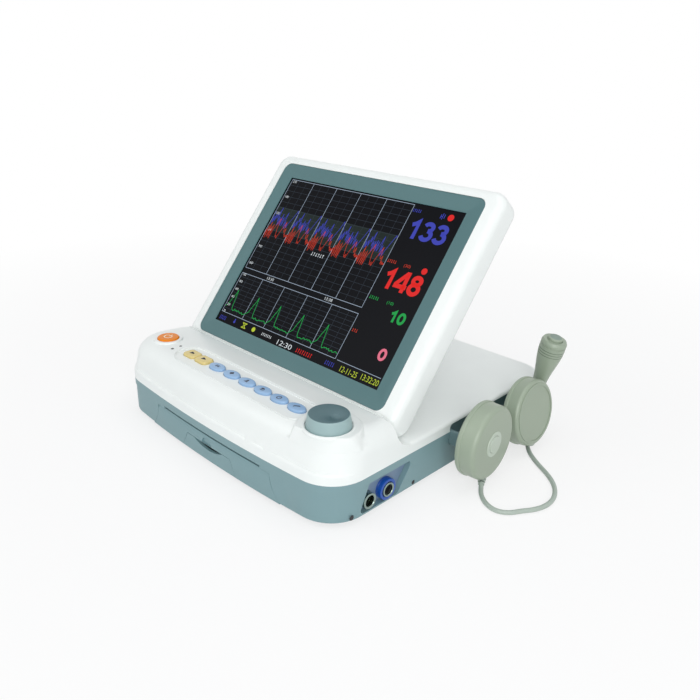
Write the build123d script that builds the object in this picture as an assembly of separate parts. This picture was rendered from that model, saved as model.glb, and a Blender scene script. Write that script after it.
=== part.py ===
"""A bench-top cardiotocograph: a flat case with a control bulge and a paper drawer,
a display that folds down over its deck, and two transducers and an event marker
that hang on the right side.

Frame: X to the right, Y to the back, Z up. The origin is the middle of the case's
footprint, on the plane that the rubber feet stand on. Lengths are in millimetres.
"""

import os
from math import acos, cos, dist, hypot, pi, radians, sin, sqrt, tan

from build123d import *

# Case
case_width = 330.0
case_depth = 335.0
side_line = case_width / 2
front_line = -case_depth / 2
rear_line = case_depth / 2
front_bow = 8.4
front_corner = 38.0
rear_corner = 26.0
foot_height = 4.0
parting_height = 42.3
panel_height = 82.0
panel_lean = 10.0
panel_crown_radius = 268.0
crown_setback = 43.0
panel_crown_y = front_line + crown_setback
panel_edge = 19.0
panel_lip = 4.0
deck_edge = 3.5
wall = 2.5
belt_low = 35.0
belt_step = 0.7
belly_edge = 2.5
fit_gap = 0.3
slide_gap = 0.4
overrun = 2.0

# Hinge and display
hinge_setback = 103.0
hinge_y = front_line + hinge_setback
hinge_z = 70.0
display_tilt = 51.5
screen_width = 246.0
screen_height = 184.5
screen_offset = 16.0
display_border = 34.0
display_half_width = screen_width / 2 + display_border
display_thickness = 32.0
bezel_border = 16.5
bezel_high = screen_offset + screen_height + bezel_border
display_top = 12.0
display_length = bezel_high + display_top
display_corner = 15.0
display_edge = 9.0
barrel_gap = 1.2
deck_gap = 0.7
screen_sink = 3.3
bezel_side = 17.0
bezel_half_width = screen_width / 2 + bezel_side
bezel_low = -1.7
bezel_corner = 9.0
bezel_thickness = 4.3
bezel_sink = 0.5
bezel_lip = 1.0
bezel_flat = 2.5
glass_border = 6.5
glass_thickness = 3.9
module_side = 14.0
module_end = 7.5
module_thickness = 7.8
shaft_radius = 4.0
shaft_length = 34.0
shaft_clearance = 0.05
hinge_inset = 52.0
hinge_x = display_half_width - hinge_inset
knuckle_radius = 8.0
leaf_thickness = 3.0
leaf_width = 12.0
leaf_foot_height = 46.0
leaf_foot_length = 20.0

# Controls
mound_radius = 31.0
mound_height = 84.0
knob_inset = 34.0
knob_x = side_line - knob_inset
knob_setback = 35.0
knob_y = front_line + knob_setback
knob_low_radius = 20.0
knob_top_radius = 18.0
knob_height = 11.5
knob_gap = 0.8
knob_edge = 1.4
knob_press = 0.6
thumb_radius = 12.0
thumb_depth = 1.6
thumb_offset = 9.0
spindle_radius = 3.0
power_inset = 40.0
power_x = power_inset - side_line
power_setback = 42.0
power_y = front_line + power_setback
power_radius = 11.5
power_mound_radius = 17.0
power_mound_rise = 1.6
key_setback = 38.0
key_row_y = front_line + key_setback
recess_left_inset = 74.0
recess_left = recess_left_inset - side_line
recess_right_inset = 59.0
recess_right = side_line - recess_right_inset
row_length = recess_right - recess_left
recess_width = 32.0
recess_depth = 1.2
yellow_depth = 14.0
yellow_corner = 4.5
yellow_share = 17.7 / 197
yellow_left = recess_left + yellow_share * row_length
yellow_pitch_share = 19.9 / 197
yellow_pitch = yellow_pitch_share * row_length
yellow_space = 1.1
yellow_width = yellow_pitch - yellow_space
blue_depth = 13.0
blue_share = 60.5 / 197
blue_left = recess_left + blue_share * row_length
blue_pitch_share = 23.54 / 197
blue_pitch = blue_pitch_share * row_length
blue_space = 2.54
blue_width = blue_pitch - blue_space
key_rise = 2.6
key_edge = 1.6
key_gap = 0.35
key_press = 0.9
key_flange = 1.6
key_flange_thickness = 1.2
stem_radius = 2.0
encoder_half = 7.0
plunger_thickness = 1.0
collar_width = 1.0
switch_height = 4.0
lamp_inset = 9.0
lamp_x = recess_left - lamp_inset
lamp_setback = 36.0
lamp_y = front_line + lamp_setback
lamp_pitch = 10.0
lamp_radius = 1.6

# Paper drawer
paper_width = 152.0
slot_half_width = 77.0
slot_low = 30.8
slot_high = 33.4
door_top_half = 89.5
door_mid_half = 93.0
door_low_half = 102.5
door_mid_height = 16.0
door_low = 4.6
door_thickness = 3.2
door_gap = 0.4
door_lip = 3.6
tray_depth = 104.0
tray_floor = 1.8
tray_wall = 2.0
tray_rise = 16.5
tray_clearance = 2.0
runner_height = 4.6
flange_width = 4.0
latch_top = 21.0
latch_top_half = 34.0
latch_low_half = 43.0
latch_low = 4.7
latch_thickness = 3.0
crescent_half = 22.5
crescent_drop = 5.0
latch_pin_radius = 1.25
latch_pin_height = 8.6
pocket_depth = 15.0
pocket_roof = 1.4
cheek_reach = 4.5
tail_half = 2.0
tail_length = 9.6
scoop_x = -1.5
thumb_scoop_radius = 7.5
thumb_scoop_depth = 1.4
platen_radius = 6.0
platen_setback = 15.5
platen_y = front_line + platen_setback
platen_height = 24.8
platen_gap = 0.3
platen_shaft_radius = 2.0
gear_module = 0.5
pressure_angle = 20.0
root_share = 1.25
platen_teeth = 20
pinion_teeth = 12
gear_width = 3.0
gear_backlash = 0.16
motor_radius = 12.5
motor_length = 17.0
head_height = 5.0
head_length = 12.0
frame_thickness = 1.5
frame_foot = 7.0
guide_thickness = 2.0

# Right side
rear_margin = 30.5
dock_rear = rear_line - rear_margin
dock_length = 143.0
dock_front = dock_rear - dock_length
dock_low = 27.0
dock_high = 50.0
dock_depth = 8.0
holder_low = 29.5
holder_high = 44.0
holder_reach = 17.0
holder_wall = 3.0
plate_thickness = 2.0
port_depth = 8.0
port_top = 35.0
port_low = 7.0
port_top_front_setback = 52.0
port_top_front = front_line + port_top_front_setback
port_top_rear_setback = 109.5
port_top_rear = front_line + port_top_rear_setback
port_low_front_setback = 40.0
port_low_front = front_line + port_low_front_setback
port_low_rear_setback = 89.5
port_low_rear = front_line + port_low_rear_setback
port_corner = 4.0
blue_socket_setback = 76.0
blue_socket_y = front_line + blue_socket_setback
blue_socket_z = 17.5
blue_ring_radius = 10.2
metal_ring_radius = 6.5
blue_bore_radius = 5.0
grey_socket_setback = 52.5
grey_socket_y = front_line + grey_socket_setback
grey_socket_z = 16.5
grey_ring_radius = 7.5
grey_bore_radius = 5.2
socket_length = 14.0
socket_flange = 1.6

# Transducers and event marker
toco_radius = 36.0
toco_thickness = 20.0
toco_offset = 10.5
toco_y = dock_front + toco_offset
toco_z = 43.0
toco_reach = 42.7
toco_face_x = side_line + toco_reach
toco_yaw = 4.0
toco_edge = 4.5
toco_back_height = 5.0
toco_seam = 0.8
toco_insert_radius = 12.5
insert_depth = 3.0
insert_rise = 0.6
toco_button_radius = 8.2
toco_button_rise = 1.2
toco_button_travel = 0.8
sono_radius = 34.0
sono_thickness = 17.0
sono_offset = 91.5
sono_y = dock_front + sono_offset
sono_z = 43.6
sono_reach = 37.0
sono_face_x = side_line + sono_reach
sono_tilt = 9.0
sono_back_height = 4.5
sono_edge = 3.5
sono_ring_width = 2.2
sono_ring_rise = 0.7
stud_neck_radius = 3.0
stud_head_radius = 4.7
stud_head_thickness = 2.5
stud_reach = 9.5
marker_reach = 8.8
marker_x = side_line + marker_reach
marker_offset = 132.5
marker_y = dock_front + marker_offset
marker_low = 31.0
marker_length = 79.0
marker_lean = 12.2
marker_low_radius = 7.0
marker_waist_radius = 8.6
marker_top_radius = 13.0
marker_button_radius = 7.5
marker_button_rise = 3.0
marker_button_travel = 2.0
marker_button_depth = 5.0
marker_groove = 0.7
marker_grooves = 3
marker_groove_pitch = 5.5
cup_drop = 1.5
cup_gap = 0.4
cup_offset = 118.0
cup_front = dock_front + cup_offset
cup_height = 21.0
cup_wall = 2.2
gland_radius = 4.2
gland_length = 2.0
boot_length = 9.5
boot_inset = 4.0
boot_depth = 11.3
boot_groove = 0.6
boot_ribs = 3
boot_root_radius = 4.7
boot_tip_radius = 2.9

# Inside the case
post_radius = 4.0
board_thickness = 1.6
board_rise = 6.0
screw_radius = 1.5
screw_head_radius = 2.8
screw_head_height = 1.8
screw_grip = 7.0
screw_inset = 47.0
screw_front_x = side_line - screw_inset
screw_setback = 67.5
screw_front_y = front_line + screw_setback
screw_middle_y = 10.0
screw_rear_inset = 52.5
screw_rear_y = rear_line - screw_rear_inset
foot_radius = 9.0
foot_inset = 26.0
tongue_width = 1.2
board_left_inset = 95.0
board_left = board_left_inset - side_line
board_right_inset = 115.0
board_right = side_line - board_right_inset
board_setback = 34.5
board_front = hinge_y + board_setback
board_rear_inset = 57.5
board_rear = rear_line - board_rear_inset
stand_inset = 6.0
component_height = 8.0
supply_left_inset = 27.0
supply_left = supply_left_inset - side_line
supply_right_inset = 87.0
supply_right = supply_right_inset - side_line
supply_front_inset = 147.5
supply_front = rear_line - supply_front_inset
supply_rear_inset = 67.5
supply_rear = rear_line - supply_rear_inset
supply_height = 38.0
supply_slot_pitch = 10.0
cell_radius = 9.0
battery_left_inset = 99.0
battery_left = side_line - battery_left_inset
battery_front_inset = 159.5
battery_front = rear_line - battery_front_inset
battery_rear_inset = 29.5
battery_rear = rear_line - battery_rear_inset
battery_rows = 3
battery_layers = 2
speaker_inset = 65.0
speaker_x = side_line - speaker_inset
speaker_offset = 28.0
speaker_y = battery_front - speaker_offset
speaker_radius = 25.0
speaker_height = 16.0
magnet_radius = 13.0
magnet_height = 7.0
grille_holes = 12
grille_radius = 14.0
inlet_inset = 55.0
inlet_x = side_line - inlet_inset
inlet_z = 22.0
inlet_width = 28.0
inlet_depth = 20.0
inlet_length = 24.0
inlet_flange = 3.0
inlet_pin = 2.0
inlet_pin_pitch = 7.0
inlet_pin_rise = 3.0
earth_offset = 35.0
earth_x = inlet_x - earth_offset
earth_radius = 3.0
earth_shank_radius = 4.0
earth_length = 9.0
nut_radius = 5.5
notch_inset = 47.5
notch_x = notch_inset - display_half_width
notch_radius = 40.0
notch_depth = 4.0

# Cord of the contraction transducer: the route on the floor, then the coil behind the case
cord_radius = 2.25
cord_offsets = [
    (-1.0, -12.7, 4.6), (1.55, -16.71, 2.48), (7.5, -24.5, 2.3), (17.8, -32.3, 2.3), (29.8, -34.9, 2.3),
    (39.8, -29.0, 2.3), (45.8, -18.0, 2.3), (52.8, -8.0, 2.3), (57.3, 5.5, 2.3), (55.8, 21.5, 2.3),
    (47.3, 37.5, 2.3), (32.3, 51.0, 2.3), (12.8, 62.0, 2.3), (-5.7, 76.0, 2.3), (-19.2, 96.0, 2.3),
    (-27.2, 121.5, 2.3), (-29.9, 147.5, 2.3), (-36.2, 169.5, 2.3), (-52.7, 183.5, 2.3), (-75.7, 187.5, 2.3),
    (-100.7, 184.5, 2.3), (-126.7, 180.5, 2.3), (-155.7, 178.5, 2.3), (-187.7, 176.5, 2.3),
    (-215.7, 177.5, 2.3), (-239.2, 177.5, 2.3),
]
cord_route = [(toco_face_x + x, toco_y + y, z) for x, y, z in cord_offsets]
coil_offset = 243.7
coil_x = toco_face_x - coil_offset
coil_radius = 28.5
coil_pitch = 5.95
coil_layers = 4
coil_half_turns = 6
coil_fall_radius = 40.0
plug_radius = 8.5
plug_length = 42.0
plug_tail = 12.0
plug_tail_radius = 4.2
plug_collar_radius = 7.0
plug_collar = 9.0
plug_ribs = 4
run_share = 0.45
gap_skip = 12


def block(x0, x1, y0, y1, z0, z1):
    """A plain block between two corners."""
    middle = Pos((x0 + x1) / 2, (y0 + y1) / 2, (z0 + z1) / 2)
    return middle * Box(x1 - x0, y1 - y0, z1 - z0)


def post(x, y, z0, z1, radius):
    """An upright round post."""
    return Pos(x, y, (z0 + z1) / 2) * Cylinder(radius, z1 - z0)


def bar(x0, x1, y, z, radius):
    """A round bar along X."""
    return Pos((x0 + x1) / 2, y, z) * Rot(0, 90, 0) * Cylinder(radius, x1 - x0)


def outline(inset=0.0, lean=0.0):
    """Plan of the case: a bowed front, straight sides and round corners."""
    half = case_width / 2 - inset
    front = -case_depth / 2 + inset + lean
    rear = case_depth / 2 - inset
    bow = ThreePointArc((-half, front + front_bow), (0, front), (half, front + front_bow))
    rest = Polyline((half, front + front_bow), (half, rear), (-half, rear), (-half, front + front_bow))
    face = make_face([bow, rest])
    face = fillet(face.vertices().sort_by(Axis.Y)[:2], front_corner - inset)
    return fillet(face.vertices().sort_by(Axis.Y)[-2:], rear_corner - inset)


deck_height = hinge_z - display_thickness / 2 - deck_gap
trough_radius = display_thickness / 2 + barrel_gap


def side_form(inset, low, top):
    """The case's sides between two heights: the front leans back as it rises."""
    return loft([Pos(0, 0, low) * outline(inset), Pos(0, 0, top) * outline(inset, panel_lean)], ruled=True)


def upper_form(inset=0.0):
    """Outer form of the upper case, or its hollow when inset by the wall."""
    low = parting_height - (overrun if inset else 0)
    top = panel_height + overrun
    sides = side_form(inset, low, top)
    crown = bar(-case_width, case_width, panel_crown_y, panel_height - panel_crown_radius,
        panel_crown_radius - inset)
    front = block(-case_width, case_width, -case_depth, hinge_y, low, top)
    bulge = sides & crown & front
    rim = [e for e in bulge.faces().sort_by(Axis.Z)[-1].edges() if e.center().Y < hinge_y - overrun]
    bulge = fillet(rim, panel_edge - inset)
    deck = extrude(Pos(0, 0, low) * outline(inset), deck_height - inset - low)
    deck = fillet(deck.faces().sort_by(Axis.Z)[-1].edges(), deck_edge - inset)
    trough = bar(-case_width, case_width, hinge_y, hinge_z, trough_radius + inset)
    return bulge + deck - trough - lip_waste(inset)


def lip_waste(inset):
    """Waste that rounds the lip where the crowned panel meets the hinge trough."""
    crown_z = panel_height - panel_crown_radius
    radius = panel_lip - inset
    near = trough_radius + inset + radius
    far = panel_crown_radius - inset - radius
    span = hypot(hinge_y - panel_crown_y, hinge_z - crown_z)
    along = (far ** 2 - near ** 2 + span ** 2) / (2 * span)
    aside = sqrt(far ** 2 - along ** 2)
    way_y = (hinge_y - panel_crown_y) / span
    way_z = (hinge_z - crown_z) / span
    y = panel_crown_y + along * way_y - aside * way_z
    z = crown_z + along * way_z + aside * way_y
    trough_share = radius / near
    crown_share = radius / far
    low = (y + (hinge_y - y) * trough_share, z + (hinge_z - z) * trough_share)
    high = (y + (y - panel_crown_y) * crown_share, z + (z - crown_z) * crown_share)
    above = panel_height + overrun
    waste = make_face(Polyline(low, (low[0], above), (high[0], above), high, close=True))
    waste -= Pos(y, z) * Circle(radius)
    return extrude(Plane.YZ * waste, case_width, both=True)


def dock_cut(grow=0.0):
    """The recess in the right side that the holder is fixed in, or its walls when grown."""
    cut = block(
        case_width / 2 - dock_depth - grow, case_width / 2 + overrun,
        dock_front - grow, dock_rear + grow, dock_low - grow, dock_high + grow,
    )
    lead = cut.edges().filter_by(Axis.X).group_by(Axis.Y)[0]
    return fillet(lead, port_corner + grow)


def port_face(grow):
    """Outline of the socket recess in the right side: its lower edge lies further forward."""
    x = case_width / 2
    points = (
        (x, port_top_front - grow, port_top + grow), (x, port_top_rear + grow, port_top + grow),
        (x, port_low_rear + grow, port_low - grow), (x, port_low_front - grow, port_low - grow),
    )
    face = make_face(Polyline(*points, close=True))
    return fillet(face.vertices(), port_corner)


def port_cut(grow=0.0):
    return extrude(port_face(grow), port_depth + grow, dir=(-1, 0, 0)) + extrude(port_face(grow),
        overrun, dir=(1, 0, 0))


def screw_places():
    """Places of the case screws: two behind the controls and two along each side."""
    wide = case_width / 2 - dock_depth - wall - 2 * post_radius
    places = [(side * screw_front_x, screw_front_y) for side in (-1, 1)]
    return places + [(side * wide, y) for side in (-1, 1) for y in (screw_middle_y, screw_rear_y)]


def stand_places():
    """Corners of the main board where it stands and is screwed down."""
    ends = (board_left + stand_inset, board_right - stand_inset)
    return [(x, y) for x in ends for y in (board_front + stand_inset, board_rear - stand_inset)]


def socket_hole(y, z, radius):
    """Round hole along X in the right side, at the depth of the socket recess."""
    return bar(case_width / 2 - 3 * port_depth, case_width / 2, y, z, radius)


def foot_places():
    wide = case_width / 2 - foot_inset
    deep = case_depth / 2 - foot_inset
    return [(side * wide, end * deep) for side in (-1, 1) for end in (-1, 1)]


def key_places():
    """Name, middle and kind of each key of the row."""
    yellow = [(name, yellow_left + i * yellow_pitch, "yellow") for i,
        name in enumerate(("print_key", "feed_key"))]
    names = ("mute_key", "zero_key", "mark_key", "mode_key", "clock_key", "menu_key")
    return yellow + [(name, blue_left + i * blue_pitch, "blue") for i, name in enumerate(names)]


def key_face(kind, wider=0.0, deeper=0.0):
    """Outline of a key, grown in width and in depth."""
    if kind == "yellow":
        return RectangleRounded(yellow_width + 2 * wider, yellow_depth + 2 * deeper, yellow_corner + wider)
    if kind == "blue":
        return Ellipse(blue_width / 2 + wider, blue_depth / 2 + deeper)
    return Circle(power_radius + deeper)


recess_floor = panel_height - recess_depth
panel_under = panel_height - wall
flange_top = panel_under - 2 * key_gap
board_top = flange_top - key_flange_thickness - stem_radius - key_press - fit_gap - switch_height
well_floor = mound_height - knob_gap - knob_press - fit_gap
knob_low = well_floor + knob_press + fit_gap


def upper_case():
    """White upper shell: control bulge, hinge trough and deck."""
    outer = upper_form()
    mound = Pos(knob_x, knob_y, (mound_height + board_top) / 2) * Cone(
        mound_radius + wall, mound_radius - wall, mound_height - board_top)
    mound = fillet(mound.edges().sort_by(Axis.Z)[-1], wall) & side_form(0, parting_height,
        mound_height + overrun)
    rise = power_mound_rise + wall
    power_mound = Pos(power_x, power_y, panel_height - wall + rise / 2) * Cone(
        power_mound_radius, power_mound_radius - wall, rise)
    recess_length = recess_right - recess_left
    recess = Pos((recess_left + recess_right) / 2, key_row_y) * RectangleRounded(
        recess_length, recess_width, recess_width / 2 - fit_gap)
    recess = extrude(Pos(0, 0, recess_floor) * recess, overrun)
    body = outer - recess + mound + power_mound - upper_form(wall)
    posts = [post(x, y, parting_height, panel_height, post_radius) for x, y in screw_places()]
    body += (Part() + posts) & outer - bar(-case_width, case_width, hinge_y, hinge_z, trough_radius)
    for x, y in screw_places():
        body -= post(x, y, parting_height - overrun, deck_height - wall, screw_radius)
    for x, y in board_post_places():
        body += post(x, y, board_top, panel_under + fit_gap, stem_radius + fit_gap)
    for x, kind in [place[1:] for place in key_places()]:
        body -= extrude(Pos(x, key_row_y, board_top) * key_face(kind, key_gap, key_gap), panel_height)
    body -= post(power_x, power_y, board_top, panel_height + overrun, power_radius + key_gap)
    body -= post(knob_x, knob_y, well_floor, mound_height + overrun, knob_low_radius + knob_gap)
    body -= post(knob_x, knob_y, board_top, mound_height, spindle_radius + wall + fit_gap)
    for step in (-0.5, 0.5):
        body -= post(lamp_x, lamp_y + step * lamp_pitch, board_top, panel_height, lamp_radius
            + shaft_clearance)
    for side in (-1, 1):
        half = leaf_thickness / 2 + slide_gap
        reach = leaf_width / 2 + slide_gap
        x = side * hinge_x
        body -= block(x - half, x + half, hinge_y - reach, hinge_y + reach, parting_height, hinge_z)
    return body + (dock_cut(wall) & outer) - dock_cut()


def board_post_places():
    front = key_row_y - recess_width / 2 + 2 * stem_radius
    rear = key_row_y + recess_width / 2 - 2 * stem_radius
    left = recess_left
    right = recess_right - stem_radius
    return [(left, front), (left, rear), (right, front), (right, rear)]


def key(x, y, kind, top):
    """A key cap with its stem and a flange, in front and behind, that keeps it in the panel."""
    cap = extrude(Pos(x, y, flange_top) * key_face(kind), top - flange_top)
    cap = fillet(cap.faces().sort_by(Axis.Z)[-1].edges(), key_edge)
    flange = extrude(Pos(x, y, flange_top - key_flange_thickness) * key_face(kind, 0, key_flange),
        key_flange_thickness)
    stem_low = board_top + switch_height + key_press + fit_gap
    return cap + flange + post(x, y, stem_low, flange_top, stem_radius)


def power_button():
    """Round power button; it stands a little proud of its mound."""
    top = panel_height + power_mound_rise + key_edge
    return key(power_x, power_y, "round", top)


def status_lamps():
    """Two light pipes that stand on the key board."""
    lamps = []
    for step in (-0.5, 0.5):
        y = lamp_y + step * lamp_pitch
        pipe = post(lamp_x, y, board_top, panel_height + fit_gap, lamp_radius)
        lamps.append(fillet(pipe.edges().sort_by(Axis.Z)[-1], lamp_radius / 2))
    return Part() + lamps


def key_board():
    """Board under the panel, with one switch under each key."""
    left = power_x - power_radius
    right = knob_x + 3 * spindle_radius
    front = key_row_y - recess_width / 2 + stem_radius - fit_gap
    rear = key_row_y + recess_width / 2 - stem_radius + fit_gap
    board = block(left, right, front, rear, board_top - board_thickness, board_top)
    for x in [place[1] for place in key_places()]:
        board += block(x - stem_radius, x + stem_radius, key_row_y - stem_radius, key_row_y + stem_radius,
                       board_top, board_top + switch_height)
    board += post(power_x, power_y, board_top, board_top + switch_height, stem_radius)
    for x, y in board_post_places():
        board -= post(x, y, board_top - overrun, board_top + overrun, screw_radius)
    return board


encoder_top = panel_under - 2 * slide_gap
spindle_collar = spindle_radius + collar_width


def encoder_body():
    """Rotary encoder under the knob: square body and threaded bushing."""
    body = block(knob_x - encoder_half, knob_x + encoder_half, knob_y - encoder_half, knob_y + encoder_half,
                 board_top, encoder_top)
    body += post(knob_x, knob_y, encoder_top, well_floor, spindle_radius + wall)
    body -= post(knob_x, knob_y, board_top + plunger_thickness, encoder_top - plunger_thickness,
        spindle_collar + fit_gap)
    return body - post(knob_x, knob_y, board_top + plunger_thickness, well_floor + overrun,
        spindle_radius + shaft_clearance)


plunger_low = board_top + plunger_thickness + knob_press + fit_gap
spindle_low = plunger_low + plunger_thickness + shaft_clearance


def encoder_plunger():
    """Disc under the spindle that works the press switch."""
    return post(knob_x, knob_y, plunger_low, plunger_low + plunger_thickness, spindle_radius)


def encoder_spindle():
    """Steel spindle with a collar that keeps it in its body."""
    top = knob_low + knob_height - wall
    spindle = post(knob_x, knob_y, spindle_low, top, spindle_radius)
    return spindle + post(knob_x, knob_y, spindle_low, spindle_low + plunger_thickness, spindle_collar)


def knob():
    """Tapered knob with a thumb dimple, hollow under its skirt."""
    top = knob_low + knob_height
    body = Pos(knob_x, knob_y, knob_low + knob_height / 2) * Cone(knob_low_radius, knob_top_radius,
        knob_height)
    body = fillet(body.edges().sort_by(Axis.Z)[-1], knob_edge)
    skirt = knob_height / 2
    hollow = post(knob_x, knob_y, knob_low, knob_low + skirt, knob_low_radius - wall)
    hollow -= post(knob_x, knob_y, knob_low, knob_low + skirt, spindle_radius + wall)
    dimple = Pos(knob_x + thumb_offset, knob_y, top + thumb_radius - thumb_depth) * Sphere(thumb_radius)
    return body - hollow - dimple - post(knob_x, knob_y, knob_low, top - wall, spindle_radius)


case_floor = foot_height + wall
belly = belt_step
guide_top = case_floor + runner_height
tray_half = paper_width / 2 + tray_clearance
tray_low = case_floor + fit_gap
flange_half = tray_half + tray_wall + flange_width
door_front = -case_depth / 2 + belly
door_back = door_front + door_thickness
tray_rear = door_back + tray_depth
door_top = slot_low - door_gap
seam_y = door_back - fit_gap
lean_start = door_top - door_lip


def door_face(gap, low, top):
    """Front view of the drawer's door: its sides curve out towards the bottom."""
    arc = ThreePointArc((door_low_half + gap, low), (door_mid_half + gap, door_mid_height),
        (door_top_half + gap, top))
    roof = Line((door_top_half + gap, top), (-door_top_half - gap, top))
    mirror_arc = ThreePointArc((-door_top_half - gap, top), (-door_mid_half - gap, door_mid_height),
        (-door_low_half - gap, low))
    sill = Line((-door_low_half - gap, low), (door_low_half + gap, low))
    return make_face([arc, roof, mirror_arc, sill])


def across(face, y_from, y_to):
    """Extrudes a front view from one depth to another."""
    return extrude(Pos(0, y_to, 0) * (Plane.XZ * face), y_to - y_from)


def front_skin(thickness):
    """Layer of the lower case's front that the door and the latch follow."""
    high = parting_height
    skin = extrude(Pos(0, 0, 0) * (outline(belly) - outline(belly + thickness)), high)
    return skin & block(-case_width, case_width, -case_depth, door_back + front_bow + thickness, 0, high)


def latch_face(gap):
    """Front view of the pull latch, under the finger opening."""
    points = (
        (-latch_top_half - gap, latch_top + gap), (latch_top_half + gap, latch_top + gap),
        (latch_low_half + gap, latch_low - gap), (-latch_low_half - gap, latch_low - gap),
    )
    return make_face(Polyline(*points, close=True))


crescent_radius = (crescent_half ** 2 + crescent_drop ** 2) / (2 * crescent_drop)
pin_y = door_front + door_thickness + 2 * latch_pin_radius
tail_x = latch_low_half - 3 * tail_half
tail_rear = pin_y + tail_length
pocket_half = latch_low_half + 2 * fit_gap
pocket_rear = door_back + pocket_depth
front_roof = latch_top + door_gap + overrun / 4
rear_roof = platen_height - platen_radius - 2 * platen_gap - pocket_roof


def latch_paddle():
    """Pull latch: a plate with a finger crescent and two hooked tails on its pins."""
    plate = across(latch_face(0), -case_depth, door_back + front_bow) & front_skin(latch_thickness)
    finger = Pos(0, -case_depth / 2, latch_top - crescent_drop + crescent_radius) * Rot(90, 0,
        0) * Cylinder(
        crescent_radius, 4 * latch_thickness)
    paddle = plate - finger
    for side in (-1, 1):
        x = side * tail_x
        lug = block(x - tail_half, x + tail_half, door_front + latch_thickness - fit_gap, pin_y,
                    latch_pin_height - tail_half, latch_pin_height + tail_half)
        lug += bar(x - tail_half, x + tail_half, pin_y, latch_pin_height, tail_half + fit_gap)
        tail = block(x - tail_half, x + tail_half, pin_y, pin_y + tail_length, latch_pin_height - fit_gap,
                     latch_pin_height + tail_half)
        tooth = block(x - tail_half, x + tail_half, pin_y + tail_length - tail_half, pin_y + tail_length,
                      tray_low, latch_pin_height)
        paddle += lug + tail + tooth
        paddle -= bar(x - 2 * tail_half, x + 2 * tail_half, pin_y, latch_pin_height, latch_pin_radius
            + shaft_clearance)
    return paddle


def latch_pins():
    """Two short pins that the latch swings on."""
    pins = []
    for side in (-1, 1):
        x = side * tail_x
        reach = 2 * tail_half - fit_gap
        pins.append(bar(x - reach, x + reach, pin_y, latch_pin_height, latch_pin_radius))
    return Part() + pins





def paper_drawer():
    """Drawer: bowed door, latch pocket, paper tray with side flanges, cheeks for the platen."""
    door = across(door_face(0, door_low, door_top), -case_depth, door_back + front_bow + door_thickness)
    leaning = loft([Pos(0, 0, lean_start) * outline(belly),
                    Pos(0, 0, parting_height) * outline(belly, wall + door_thickness)], ruled=True)
    door = door & front_skin(door_thickness) & (extrude(outline(belly), lean_start) + leaning)
    scoop = Pos(scoop_x, door_front, latch_top) * Rot(90, 0, 0) * Cylinder(thumb_scoop_radius,
        2 * thumb_scoop_depth)
    door -= scoop & block(-case_width, case_width, -case_depth, 0, latch_top + 2 * door_gap, parting_height)

    floor_top = tray_low + tray_floor
    outer_half = tray_half + tray_wall
    tray = block(-outer_half, outer_half, seam_y, tray_rear, tray_low, tray_low + tray_rise)
    tray -= block(-tray_half, tray_half, -case_depth, tray_rear - tray_wall, floor_top, parting_height)
    tray += block(-tray_half, tray_half, pocket_rear, pocket_rear + tray_wall, tray_low, rear_roof
        + tray_wall)
    tray += block(-flange_half, flange_half, door_back + front_bow, tray_rear, tray_low, floor_top)

    side = pocket_half + tray_wall
    step = platen_y - platen_radius - platen_gap
    pocket = block(-side, side, seam_y, pocket_rear + tray_wall, tray_low, rear_roof + pocket_roof)
    pocket += block(-side, side, seam_y, step, tray_low, front_roof + pocket_roof)
    hollow = block(-pocket_half, pocket_half, -case_depth, pocket_rear, floor_top, rear_roof)
    hollow += block(-pocket_half, pocket_half, -case_depth, step - pocket_roof, floor_top, front_roof)
    mouth = across(latch_face(door_gap), -case_depth, pin_y)
    hollow = hollow & block(-pocket_half, pocket_half, door_back, 0, 0, parting_height)
    mouth = mouth & block(-case_width, case_width, -case_depth, pin_y - latch_pin_radius, 0, parting_height)
    body = door + tray + pocket - hollow - mouth

    for turn in (-1, 1):
        x = turn * (tray_half + tray_wall / 2)
        body += block(x - tray_wall / 2, x + tray_wall / 2, seam_y, platen_y + cheek_reach, tray_low,
            platen_height + cheek_reach)
        body -= bar(x - tray_wall, x + tray_wall, platen_y, platen_height, platen_shaft_radius
            + shaft_clearance)
        x = turn * tail_x
        gap = tail_half + slide_gap
        body -= block(x - gap, x + gap, -case_depth, tail_rear + overrun, 0, floor_top)
        for ear_x in (x - gap - tray_wall, x + gap):
            body += bar(ear_x, ear_x + tray_wall, pin_y, latch_pin_height, latch_pin_height - tray_low)
        body -= bar(x - gap - tray_wall, x + gap + tray_wall, pin_y, latch_pin_height, latch_pin_radius)
    return body


def platen_roller():
    """Rubber platen that feeds the paper."""
    half = paper_width / 2
    return bar(-half, half, platen_y, platen_height, platen_radius) - bar(
        -case_width, case_width, platen_y, platen_height, platen_shaft_radius)


def gear_face(teeth, turn):
    """Involute gear outline, with one tooth centred on the given angle."""
    pitch = gear_module * teeth / 2
    pressure = radians(pressure_angle)
    base = pitch * cos(pressure)
    root = pitch - root_share * gear_module
    tip = pitch + gear_module
    half_tooth = pi / (2 * teeth) - gear_backlash / (2 * pitch)
    involute = tan(pressure) - pressure
    flank_steps = 3
    points = []
    for i in range(teeth):
        middle = turn + 2 * pi * i / teeth
        flank = []
        low = max(base, root)
        for k in range(flank_steps + 1):
            radius = low + (tip - low) * k / flank_steps
            angle = acos(min(1, base / radius))
            flank.append((radius, half_tooth + involute - (tan(angle) - angle)))
        flank = [(root, flank[0][1])] + flank if root < low else flank
        points += [(r * cos(middle - a), r * sin(middle - a)) for r, a in flank]
        points += [(r * cos(middle + a), r * sin(middle + a)) for r, a in reversed(flank)]
    return make_face(Polyline(*points, close=True))


gear_low = tray_half + tray_wall + slide_gap
gear_high = gear_low + gear_width
pinion_y = platen_y + gear_module * (platen_teeth + pinion_teeth) / 2


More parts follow.
